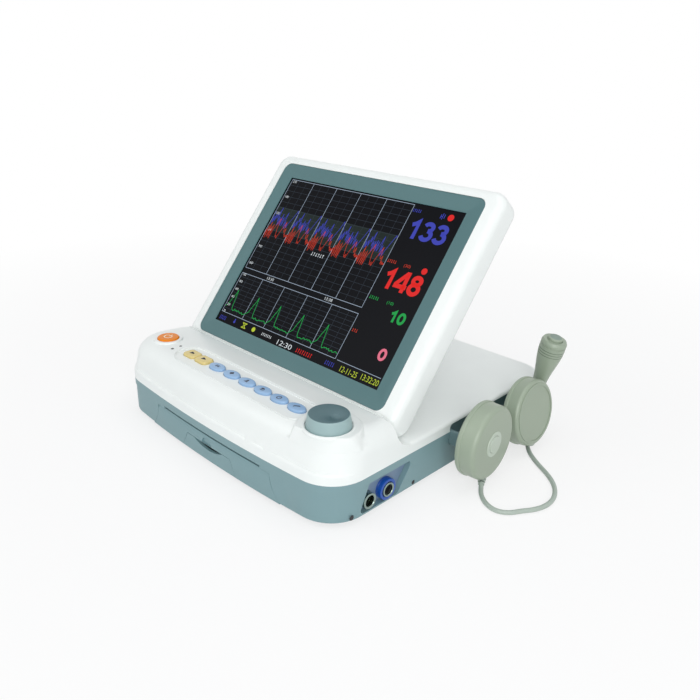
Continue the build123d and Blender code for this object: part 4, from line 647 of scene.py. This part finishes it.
def lay_strip(build, a, b, width):
    """A flat strip between two points, a grid of one face that is level across."""
    along = (b - a).normalized()
    across = Vector((0, 0, 1)).cross(along).normalized()
    size = Matrix.Diagonal(((b - a).length / 2, width / 2, 1, 1))
    bmesh.ops.create_grid(build, x_segments=1, y_segments=1, size=1, matrix=Matrix.Translation((a + b) / 2)
                          @ axes(along, across, along.cross(across)) @ size)


def strips(name, lines, width, material, level=figure_level, surface=on_glass):
    """Flat strips from point to point on a surface: its frame, its body and its slot."""
    build = bmesh.new()
    for start, end in lines:
        lay_strip(build, Vector((*start, level)), Vector((*end, level)), width)
    return show(settle(build, name, surface[0]), name, material, *surface[1:])


def dot(name, place, size, material, level=figure_level, surface=on_glass):
    """A filled round dot on a surface."""
    build = bmesh.new()
    bmesh.ops.create_circle(build, cap_ends=True, segments=24, radius=size,
                            matrix=Matrix.Translation((*place, level)))
    return show(settle(build, name, surface[0]), name, material, *surface[1:])


def joined(points, longest=1000.0):
    """The lines between a row of points, without those that jump too far across."""
    return [(a, b) for a, b in zip(points, points[1:]) if b[0] - a[0] < longest]


def arc(middle, reach, first, last, count=14):
    """Points on an ellipse from one angle to another, in degrees."""
    turns = [radians(first + (last - first) * i / count) for i in range(count + 1)]
    return [(middle[0] + reach[0] * cos(turn), middle[1] + reach[1] * sin(turn)) for turn in turns]


print("layers of the picture:", screen_level, "to", round(figure_level + print_step, 2), "mm")

# %% Small figures
def letters(name, text, box, material):
    """Plain figures fitted into a box (left, low, right, high) on the screen."""
    words = bpy.data.curves.new(name, "FONT")
    words.body = text
    words.resolution_u = 4
    mesh = mesh_of(words)
    across = [v.co.x for v in mesh.vertices]
    upward = [v.co.y for v in mesh.vertices]
    left, low, right, high = box
    mesh.transform(Matrix.Translation((-min(across), -min(upward), 0)))
    mesh.transform(Matrix.Diagonal((
        (right - left) / (max(across) - min(across)), (high - low) / (max(upward) - min(upward)), 1, 1)))
    mesh.transform(Matrix.Translation((left, low, figure_level)))
    mesh.transform(display_frame @ Matrix.Diagonal((MM, MM, MM, 1)))
    return show(mesh, name, material, *on_glass[1:])


# %% [markdown]
# The big figures are bolder than the built-in letter shapes, so their middle lines are written down
# as arcs and straight runs in a unit box, and a ribbon of even width follows them, mitred at each
# point. One rule for the ribbon serves every figure, and its weight is one number.

# %% Bold figures
figure_width = 0.6
figure_lines = {
    "0": [arc((0.29, 0.5), (0.2, 0.41), 0, 360, 28)],
    "1": [[(0.1, 0.7), (0.24, 0.78), (0.36, 0.93), (0.36, 0.0)]],
    "3": [arc((0.27, 0.73), (0.18, 0.18), 165, -90), arc((0.28, 0.32), (0.21, 0.23), 90, -165)],
    "4": [[(0.43, 0.0), (0.43, 0.94), (0.38, 0.94), (0.05, 0.36), (0.05, 0.28), (0.56, 0.28)]],
    "8": [arc((0.29, 0.73), (0.17, 0.18), -90, 270, 24), arc((0.29, 0.32), (0.2, 0.23), 90, 450, 24)],
}


def ribbon(build, points, width, level):
    """A flat ribbon of even width along a row of points."""
    spots = [Vector((x, y, 0)) for x, y in points]
    closed = (spots[0] - spots[-1]).length < 0.001
    rims = []
    for i, spot in enumerate(spots):
        before = spots[i - 1] if i else spots[-2] if closed else spot
        after = spots[i + 1] if i + 1 < len(spots) else spots[1] if closed else spot
        incoming, outgoing = (spot - before).normalized(), (after - spot).normalized()
        way = (incoming + outgoing).normalized()
        side = Vector((-way.y, way.x, 0))
        known = outgoing if outgoing.length else incoming
        reach = width / 2 / max(0.5, side.dot(Vector((-known.y, known.x, 0))))
        spot = spot + Vector((0, 0, level))
        rims.append([build.verts.new(spot + side * turn * reach) for turn in (1, -1)])
    for (a, b), (c, d) in zip(rims, rims[1:]):
        build.faces.new((a, b, d, c))


def figures_in(name, text, box, material, weight):
    """Bold figures side by side in a box (left, low, right, high) on the screen."""
    left, low, right, high = box
    build = bmesh.new()
    advance = (right - left) / len(text)
    for i, figure in enumerate(text):
        for run in figure_lines[figure]:
            spots = [(left + advance * (i + x / figure_width), low + (high - low) * y) for x, y in run]
            ribbon(build, spots, weight, figure_level)
    return show(settle(build, name, display_frame), name, material, *on_glass[1:])


print("bold figures:", *figure_lines)

# %% Graph grids
left_edge, column, columns = -120.8, 36.4, 5
right_edge = left_edge + columns * column
thin_lines, strong_lines = [], [((64.0, 27.2), (121.0, 27.0))]
for low, high, rungs in ((83.5, 199.0, 16), (27.4, 76.6, 10)):
    for third in range(3 * columns + 1):
        x = left_edge + third / 3 * column
        (thin_lines if third % 3 else strong_lines).append(((x, low), (x, high)))
    for rung in range(rungs + 1):
        y = low + rung * (high - low) / rungs
        (thin_lines if 0 < rung < rungs else strong_lines).append(((left_edge, y), (right_edge, y)))
band_middle, band_width = 148.6, 30.0
band = [((left_edge, band_middle), (right_edge, band_middle))]
strips("screen_band", band, band_width, band_pixels, screen_level)
strips("screen_grid", thin_lines, 0.35, faint_pixels, screen_level + print_step)
strips("screen_axes", strong_lines, 0.55, pale_pixels, screen_level + 2 * print_step)
print("grid lines:", len(thin_lines), "thin,", len(strong_lines), "strong")

# %% [markdown]
# The traces repeat with the contractions, about one every graph column. Each column's beat is a row
# of pairs, hundredths of the column and a height in millimetres, and a small flutter with a fixed
# random seed keeps the columns from being copies.
# Uterine activity is a smooth hill and a slightly restless base line.

# %% Traces
flutter = random.Random(11)
blue_beat = (
    (2, 157), (5, 141), (7, 150), (9, 143), (12, 153), (15, 145), (18, 156), (21, 150),
    (25, 162), (28, 145), (31, 153), (34, 142), (37, 152), (40, 143), (43, 155), (46, 141),
    (50, 152), (53, 142), (56, 150), (60, 158.5), (63, 142), (66, 149), (70, 139), (73, 147),
    (77, 140), (80, 146), (87, 153.5), (95, 164), (98, 161))
red_beat = (
    (1, 134), (3, 126), (6, 138), (9, 123.5), (13, 144.5), (16, 125), (19, 139), (22, 124),
    (25, 141), (28, 123.5), (31, 136), (34, 139), (42, 149.5), (45, 138), (49, 132), (53, 126.5),
    (56, 130), (59, 126), (65, 137), (73, 147.5), (77, 138), (80, 135), (83, 140), (86, 131),
    (88, 134), (91, 129), (93, 133), (95, 129.5), (97, 132.5), (98.5, 130))
hill = ((-8.0, 34.5), (-5.0, 37.0), (-3.0, 45.0), (-1.2, 50.0), (0.0, 56.2), (1.2, 50.0), (2.4, 42.0),
        (3.4, 36.0))
first_peak, rest_start, rest_step, rest_height, rest_fall = 9.0, 4.6, 1.55, 33.4, 0.04


def fluttered(beat, i, swing):
    """One column of a heart trace, with each point moved a little."""
    return [(left_edge + (i + share / 100) * column + flutter.uniform(-0.2, 0.2),
             height + flutter.uniform(-swing, swing)) for share, height in beat]


blue_line, red_line, green_line = [], [], []
for i in range(columns):
    blue_line += fluttered(blue_beat, i, 1.2)
    red_line += fluttered(red_beat, i, 1.0)
    peak = left_edge + first_peak + i * column
    green_line += [(peak + x, y) for x, y in hill]
    green_line += [(peak + rest_start + step * rest_step,
                    rest_height + flutter.uniform(-1.4, 1.6) - rest_fall * step) for step in range(15)]
strips("trace_blue", joined(blue_line), 0.65, blue_pixels)
strips("trace_red", joined(red_line), 0.55, rust_pixels, figure_level + print_step)
strips("trace_green", joined(green_line, longest=4.0), 0.75, green_pixels)
print("trace points:", len(blue_line), len(red_line), len(green_line))

# %% Numbers on the screen
figures_in("rate_one", "133", (67.6, 163.8, 115.6, 184.4), blue_pixels, 4.5)
figures_in("rate_two", "148", (68.3, 108.8, 115.8, 129.7), red_pixels, 4.5)
figures_in("activity", "10", (96.4, 79.4, 116.0, 91.0), green_pixels, 2.8)
figures_in("movements", "0", (105.0, 41.8, 115.4, 53.6), pink_pixels, 2.8)
letters("clock_date", "12-11-25", (72.5, 17.8, 94.5, 23.6), yellow_pixels)
letters("clock_time", "13:32:20", (99.5, 18.8, 121.0, 24.6), yellow_pixels)
letters("set_two", "(30)", (84.5, 133.6, 92.5, 137.6), rust_pixels)
letters("set_three", "(10)", (86.5, 94.0, 94.5, 98.0), green_pixels)
scale_left, one_figure_less = -118.6, 2.4
for value, height in ((210, 196.6), (180, 176.8), (150, 155.2), (120, 133.8), (90, 112.0), (60, 90.4)):
    box = (scale_left, height - 1.3, -112.8, height + 1.6)
    letters("scale_" + str(value), str(value), box, white_pixels)
for value, height in ((100, 75.0), (80, 66.2), (60, 56.6), (40, 46.8), (20, 37.0), (0, 28.8)):
    box = (scale_left, height - 1.2, -113.6 - (one_figure_less if value < 10 else 0.0), height + 1.5)
    letters("part_scale_" + str(value), str(value), box, white_pixels)
letters("tick_one", "13:30", (-79.5, 78.4, -68.8, 81.6), white_pixels)
letters("tick_two", "13:38", (11.8, 78.4, 22.6, 81.6), white_pixels)
letters("run_time", "12:30", (-19.4, 17.4, 2.6, 22.8), white_pixels)
dot("pulse_dot_one", (108.8, 193.1), 3.5, red_pixels)
dot("pulse_dot_two", (109.6, 135.4), 3.3, red_pixels)

# %% [markdown]
# A monitor's picture also needs the rhythm of small type round its graphs. Short plain bars give it
# without a word. The small signs are a bell, a crossed-out feeler and a paper roll.

# %% Status bars and signs
def dashes(name, left, right, middle, height, count, material):
    """A row of short upright bars, in place of a word."""
    pitch = (right - left) / count
    lines = []
    for i in range(count):
        x = left + (i + 0.5) * pitch
        cross = middle + (i % 2 - 0.5) * height * 0.7
        lines += [((x, middle - height / 2), (x, middle + height / 2)),
                  ((x - 0.3 * pitch, cross), (x + 0.3 * pitch, cross))]
    return strips(name, lines, 0.6, material)


dashes("bar_one", 62.0, 73.0, 193.2, 3.4, 5, blue_pixels)
dashes("bar_two", 62.8, 74.4, 136.6, 3.4, 5, rust_pixels)
dashes("bar_three", 63.4, 75.6, 96.6, 3.4, 5, green_pixels)
dashes("bar_four", 63.2, 70.6, 60.0, 3.4, 3, rust_pixels)
dashes("bar_five", -119.5, -108.0, 20.8, 4.6, 5, blue_pixels)
dashes("bar_six", -46.5, -30.0, 21.4, 3.0, 7, white_pixels)
dashes("bar_seven", 9.0, 33.0, 20.2, 4.6, 8, red_pixels)
dashes("bar_eight", 51.0, 64.0, 20.8, 4.6, 5, blue_pixels)
dashes("bar_nine", -37.0, -17.0, 121.0, 4.0, 6, white_pixels)
feeler = [((-79.5, 18.8), (-73.0, 24.6)), ((-73.0, 18.8), (-79.5, 24.6)), ((-80, 24.4), (-72.5, 24.4)),
          ((-80, 19.0), (-72.5, 19.0))]
strips("sign_cross", feeler, 0.9, yellow_pixels)
dot("sign_roll", (-60.2, 21.8), 2.7, yellow_pixels)
dot("sign_bell_low", (-93.3, 21.2), 1.5, blue_pixels)
strips("sign_bell", [((-93.3, 21.0), (-93.3, 24.8))], 1.4, blue_pixels)
waves = [((97.2, 190.4), (97.2, 195.0)), ((99.2, 189.6), (99.2, 196.2)), ((101.4, 191.0), (101.4, 195.4)),
         ((97.2, 192.8), (99.2, 192.8))]
strips("sign_sound", waves, 0.8, blue_pixels)

# %% [markdown]
# ## Marks on the keys
# Key caps are printed on their underside, so a mark looks flat and dark below a thin clear layer.
# Each mark is again made of strips and dots, a hair above the cap, and rides on its own key. A mark
# is written as chains of points round the middle of its cap, and dots with their radius.

# %% Key marks
mark_print = moulded("dark_key_print", "#2A3046", 0.4, 1.0, 0.002, drift=0.1)
cream_print = moulded("cream_key_print", "#FFE7C9", 0.4, 1.0, 0.002, drift=0.03)
flat_world = Matrix.Identity(4)
key_row, key_top = -129.5, 83.43
blue_first, blue_pitch = -30.5, 23.54
arrow = [[(-2.4, 1.9), (2.6, 0), (-2.4, -1.9), (-2.4, 1.9)], [(-2, 0.9), (1.2, 0), (-2, -0.9)],
         [(-2, 0), (2, 0)]]
key_marks = {
    "print_key": (-73.3, arrow, []),
    "feed_key": (-53.4, arrow, []),
    "mute_key": (blue_first, [
        [(-2.6, -0.8), (-0.6, -0.8)], [(-2.6, 0.8), (-0.6, 0.8)], [(-0.6, -2), (-0.6, 2)],
        [(1, -1.6), (2.8, 1.6)], [(1, 1.6), (2.8, -1.6)]], []),
    "zero_key": (blue_first + blue_pitch, [
        [(-2.2, 0), (0, 2.2), (2.2, 0), (0, -2.2), (-2.2, 0)]], [(0, 0, 1.3)]),
    "mark_key": (blue_first + 2 * blue_pitch, [
        [(-2.4, -1.8), (2.4, -1.8)], [(-1.6, -0.4), (1.8, -0.4)], [(0, -1.2), (0, 2.4)],
        [(-1.2, 0.8), (0, 2.2), (1.2, 0.8)]], []),
    "mode_key": (blue_first + 3 * blue_pitch, [[(-2, -2), (2.2, -2), (2.2, 0.6)]], [(-0.6, 0.6, 1.7)]),
    "clock_key": (blue_first + 4 * blue_pitch, [
        [(0, 0.2), (0, 2.6)],
        [(-1.2, 1.9), (-2.2, 0.8), (-2.2, -1.4), (-1, -2.4), (1, -2.4), (2.2, -1.4), (2.2, 0.8),
         (1.2, 1.9)]], []),
    "menu_key": (blue_first + 5 * blue_pitch, [
        [(-2.8, -1.4), (1.8, 1.6)], [(-2.6, -0.6), (1.4, 2.2)], [(-2.8, -2), (-1.4, -1.8)],
        [(1.6, 1.2), (2.6, 2)]], []),
}
for key, (x, chains, dots) in key_marks.items():
    on_key = (flat_world, key + "_body", "black_plastic")
    lines = [run for chain in chains for run in joined([(x + dx, key_row + dy) for dx, dy in chain])]
    strips(key + "_mark", lines, 1.0, mark_print, key_top, on_key)
    for i, (dx, dy, size) in enumerate(dots):
        dot(key + "_dot_" + str(i), (x + dx, key_row + dy), size, mark_print, key_top, on_key)
print("keys marked:", len(key_marks))

# %% [markdown]
# The power button carries the common sign for a switch, a broken ring with a stroke, in cream.

# %% Power sign
power_x, power_y, sign_radius, button_top = -125.0, -125.5, 4.2, 85.25
stroke_foot, stroke_head = power_y + 1.1, power_y + 5.9
ring = joined(arc((power_x, power_y), (sign_radius, sign_radius), 125, 415))
ring.append(((power_x, stroke_foot), (power_x, stroke_head)))
strips("power_sign", ring, 1.3, cream_print, button_top, (flat_world, "power", "orange_key"))
print("power sign:", len(ring), "strips")

# %% [markdown]
# ## Small trim on the case
# A fine bead runs round the key row, two moulding witness lines cross the screen's lower frame, and
# dark screw heads sit low on the side, their black partly the screws' own and partly painted shade of
# the screw holes. The bead is a tube bent over the crowned panel: the crown's height is worked out
# from its radius at each point.

# %% Bead round the key row
crown_top, crown_radius, crown_line = 82.0, 268.0, -124.5


def crown_height(y):
    """Height of the crowned control panel at a place along Y."""
    return crown_top - crown_radius + (crown_radius ** 2 - (y - crown_line) ** 2) ** 0.5


half_row, bead_left, bead_right, bead_proud = 17.6, -75.0, 90.0, 0.05
bead_plan = (arc((bead_right, key_row), (half_row, half_row), -90, 90, 16)
             + arc((bead_left, key_row), (half_row, half_row), 90, 270, 16))
bead_curve, bead_spline = curve_along(
    "key_row_bead", "POLY", [(x, y, crown_height(y) + bead_proud) for x, y in bead_plan])
bead_spline.use_cyclic_u = True
bead_curve.bevel_depth = 0.45 * MM
bead_curve.bevel_resolution = 2
bead_mesh = mesh_of(bead_curve)
bead_mesh.polygons.foreach_set("use_smooth", [True] * len(bead_mesh.polygons))
show(bead_mesh, "key_row_bead", satin_white_abs, "base", "white_shell")
print("bead:", len(bead_plan), "points; panel at the key row:", round(crown_height(key_row), 2), "mm high")

# %% Witness lines on the screen's frame
seam_finish = moulded("bezel_seam_shadow", "#4E7072", 0.5, 1.0, 0.002)
seam_build = bmesh.new()
for start, end in (((-20.8, 0.8, 15.56), (-18.8, 15.0, 13.9)), ((15.7, 0.8, 15.56), (16.4, 12.6, 14.2))):
    lay_strip(seam_build, Vector(start), Vector(end), 0.45)
seam_mesh = settle(seam_build, "bezel_seams", display_frame)
show(seam_mesh, "bezel_seams", seam_finish, "display", "bezel_green")
print("witness lines:", len(seam_mesh.polygons))

# %% [markdown]
# Screw heads, sleeves, rings and pads are all turned pieces. One helper spins a profile round an axis
# and leaves edges sharper than 35 degrees crisp, as a lathe does.

# %% Turned pieces and the side screws
def turned(name, profile, place, material, slot, body="base", way=(1, 0, 0)):
    """A profile of radius and height, spun round an axis that starts at a place and points a way."""
    build = bmesh.new()
    points = [build.verts.new((r, 0, h)) for r, h in profile]
    edges = [build.edges.new(pair) for pair in zip(points, points[1:])]
    bmesh.ops.spin(build, geom=points + edges, cent=(0, 0, 0), axis=(0, 0, 1), angle=2 * pi, steps=48,
                   use_merge=True)
    bmesh.ops.remove_doubles(build, verts=build.verts[:], dist=0.001)
    bmesh.ops.recalc_face_normals(build, faces=build.faces[:])
    for edge in build.edges:
        edge.smooth = len(edge.link_faces) == 2 and edge.calc_face_angle() < radians(35)
    for face in build.faces:
        face.smooth = True
    where = at(place) @ Vector(way).to_track_quat("Z", "Y").to_matrix().to_4x4()
    return show(settle(build, name, where), name, material, body, slot)


def ring_profile(inner, outer, inner_half, outer_half):
    """The closed profile of a ring about its own middle."""
    return [(inner, -inner_half), (outer, -outer_half), (outer, outer_half), (inner, inner_half),
            (inner, -inner_half)]


# The heads' black is partly painted shade, standing for the dark of the screw holes.
screw_head = [(0.0, 0.4), (0.7, 0.5), (1.0, 0.95), (2.0, 0.6), (2.5, 0.0)]
turned("side_screw_rear", screw_head, (163.9, -56.0, 8.6), black_nylon, "black_plastic")
turned("side_screw_front", screw_head, (163.3, -135.5, 8.4), black_nylon, "black_plastic")
print("screw heads:", 2 * screw_head[-1][0], "mm across")

# %% [markdown]
# ## Sleeves and contacts in the sockets
# A round transducer socket is an open metal sleeve, with a keyed lip that stands out of the wall so
# that a plug can lock on it. A ring of brass pins stands on a dark insulator at its bottom.

# %% Socket sleeves and contacts
socket_axes = {"blue": (-91.5, 17.5), "grey": (-115.0, 16.5)}
face_x, floor_x, pin_radius, pin_length = 160.6, 148.6, 0.55, 6.0


def sleeve(name, socket, inner, outer, height, material, slot):
    """An open sleeve on a socket's face, its rim rounded by two small steps."""
    edge, corner = 0.5, 0.15
    turned(name, [(inner, 0.0), (inner, height - edge), (inner + edge, height), (outer - edge, height),
                  (outer - corner, height - corner), (outer, height - edge), (outer, 0.0)],
           (face_x, *socket_axes[socket]), material, slot)


def contacts(socket, ring_radius, count):
    """Pins in a ring, each a capped cylinder along X."""
    name = socket + "_socket_pins"
    build = bmesh.new()
    for i in range(count):
        angle = 2 * pi * i / count
        foot = (floor_x + pin_length / 2, ring_radius * cos(angle), ring_radius * sin(angle))
        bmesh.ops.create_cone(
            build, cap_ends=True, segments=12, radius1=pin_radius, radius2=pin_radius, depth=pin_length,
            matrix=Matrix.Translation(foot) @ Matrix.Rotation(pi / 2, 4, "Y"))
    show(settle(build, name, at((0, *socket_axes[socket]))), name, yellow_brass, "base", "brass")
    print(socket, "socket:", count, "pins")


sleeve("blue_socket_shroud", "blue", 7.3, 10.2, 4.4, connector_blue, "socket_blue")
sleeve("blue_socket_sleeve", "blue", 5.05, 6.9, 5.2, nickel_ring, "socket_metal")
sleeve("grey_socket_sleeve", "grey", 5.25, 7.5, 4.8, nickel_ring, "socket_metal")
contacts("blue", 2.7, 6)
contacts("grey", 2.9, 5)
for socket, spot in socket_axes.items():
    turned(socket + "_insulator", [(0.0, 0.4), (4.4, 0.4), (4.8, 0.0)], (floor_x + 0.1, *spot), black_nylon,
           "black_plastic")
# A black liner in the blue socket's bore: painted shade, darkening the bore as its depth would.
turned("blue_socket_bore_shade", [(4.6, 0.0), (4.6, 14.6), (5.0, 14.6), (5.0, 0.0), (4.6, 0.0)],
       (floor_x + 0.6, *socket_axes["blue"]), black_nylon, "black_plastic")

# %% [markdown]
# ## Rings on the knob's mound, the marker and the strain relief
# A knob stands in a well whose lip is rounded, so that nothing catches. The marker's grip has three
# fine grooves and a darker pad on its button, and the ribbed strain relief has slots; the shade in the
# grooves and slots is painted as dark rings. All are turned from small profiles on the axis of what
# carries them.

# %% The knob's lip
lip = [(20.75, 0.0), (20.75, 1.9), (21.2, 2.35), (22.2, 2.35), (23.6, 1.1), (23.6, 0.0), (20.75, 0.0)]
turned("knob_well_lip", lip, (*knob_axis, crown_top), satin_white_abs, "white_shell", way=(0, 0, 1))
print("lip stands", max(h for r, h in lip), "mm proud")

# %% Painted shade in the marker's grooves, and the pad on its button
groove_shadow = moulded("probe_groove_shadow", "#6F7D6C", 0.5, 1.0, 0.002)
button_pad = moulded("soft_button_pad", "#86978D", 0.55, 0.7, 0.01)
marker_base, marker_lean = Vector((173.8, 126.5, 31.0)), radians(12.2)
marker_way = Vector((sin(marker_lean), 0, cos(marker_lean)))
grip_reach, bore_radius = {}, 8
for vertex in nodes["marker_grip"].data.vertices:
    apart = vertex.co / MM - marker_base
    height = apart.dot(marker_way)
    grip_reach[height] = (apart - marker_way * height).length


def grip_radius(height):
    """The grip's radius at a height, between its mesh's nearest rings above and below."""
    below = max((h for h in grip_reach if h <= height and grip_reach[h] > bore_radius), default=height)
    above = min((h for h in grip_reach if h >= height and grip_reach[h] > bore_radius), default=height)
    share = (height - below) / (above - below) if above > below else 0.0
    return grip_reach[below] * (1 - share) + grip_reach[above] * share


# Dark rings a little proud of the grip's grooves: painted shade of the grooves.
for i, height in enumerate((69.0, 66.2, 63.4)):
    wide = grip_radius(height)
    turned("marker_groove_shade_" + str(i), ring_profile(wide - 0.4, wide + 0.08, 0.45, 0.4),
           marker_base + marker_way * height, groove_shadow, "probe_grey", "marker", marker_way)
    print("grip radius at", height, "mm:", round(wide, 2))
turned("marker_button_pad", [(0.0, 0.1), (5.9, 0.1), (6.15, -0.05), (0.0, -0.3)],
       marker_base + marker_way * 82.0, button_pad, "probe_grey", "marker_push", marker_way)

# %% Painted shade in the slots of the strain relief
slot_shadow = moulded("strain_relief_slot_shadow", "#56635B", 0.6, 1.0, 0.002)
boot_start = Vector((199.02, 3.89, 11.0))
boot_way = (Vector(route[0]) - boot_start).normalized()
# Dark rings laid in the strain relief's slots: painted shade of the slots.
for i, (along, wide) in enumerate(((6.98, 3.5), (10.15, 2.9), (13.31, 2.3))):
    turned("boot_slot_shade_" + str(i), ring_profile(wide - 0.3, wide + 0.2, 0.6, 0.6),
           boot_start + boot_way * along, slot_shadow, "cord_grey", "toco", boot_way)
print("strain relief points along", [round(part, 2) for part in boot_way])
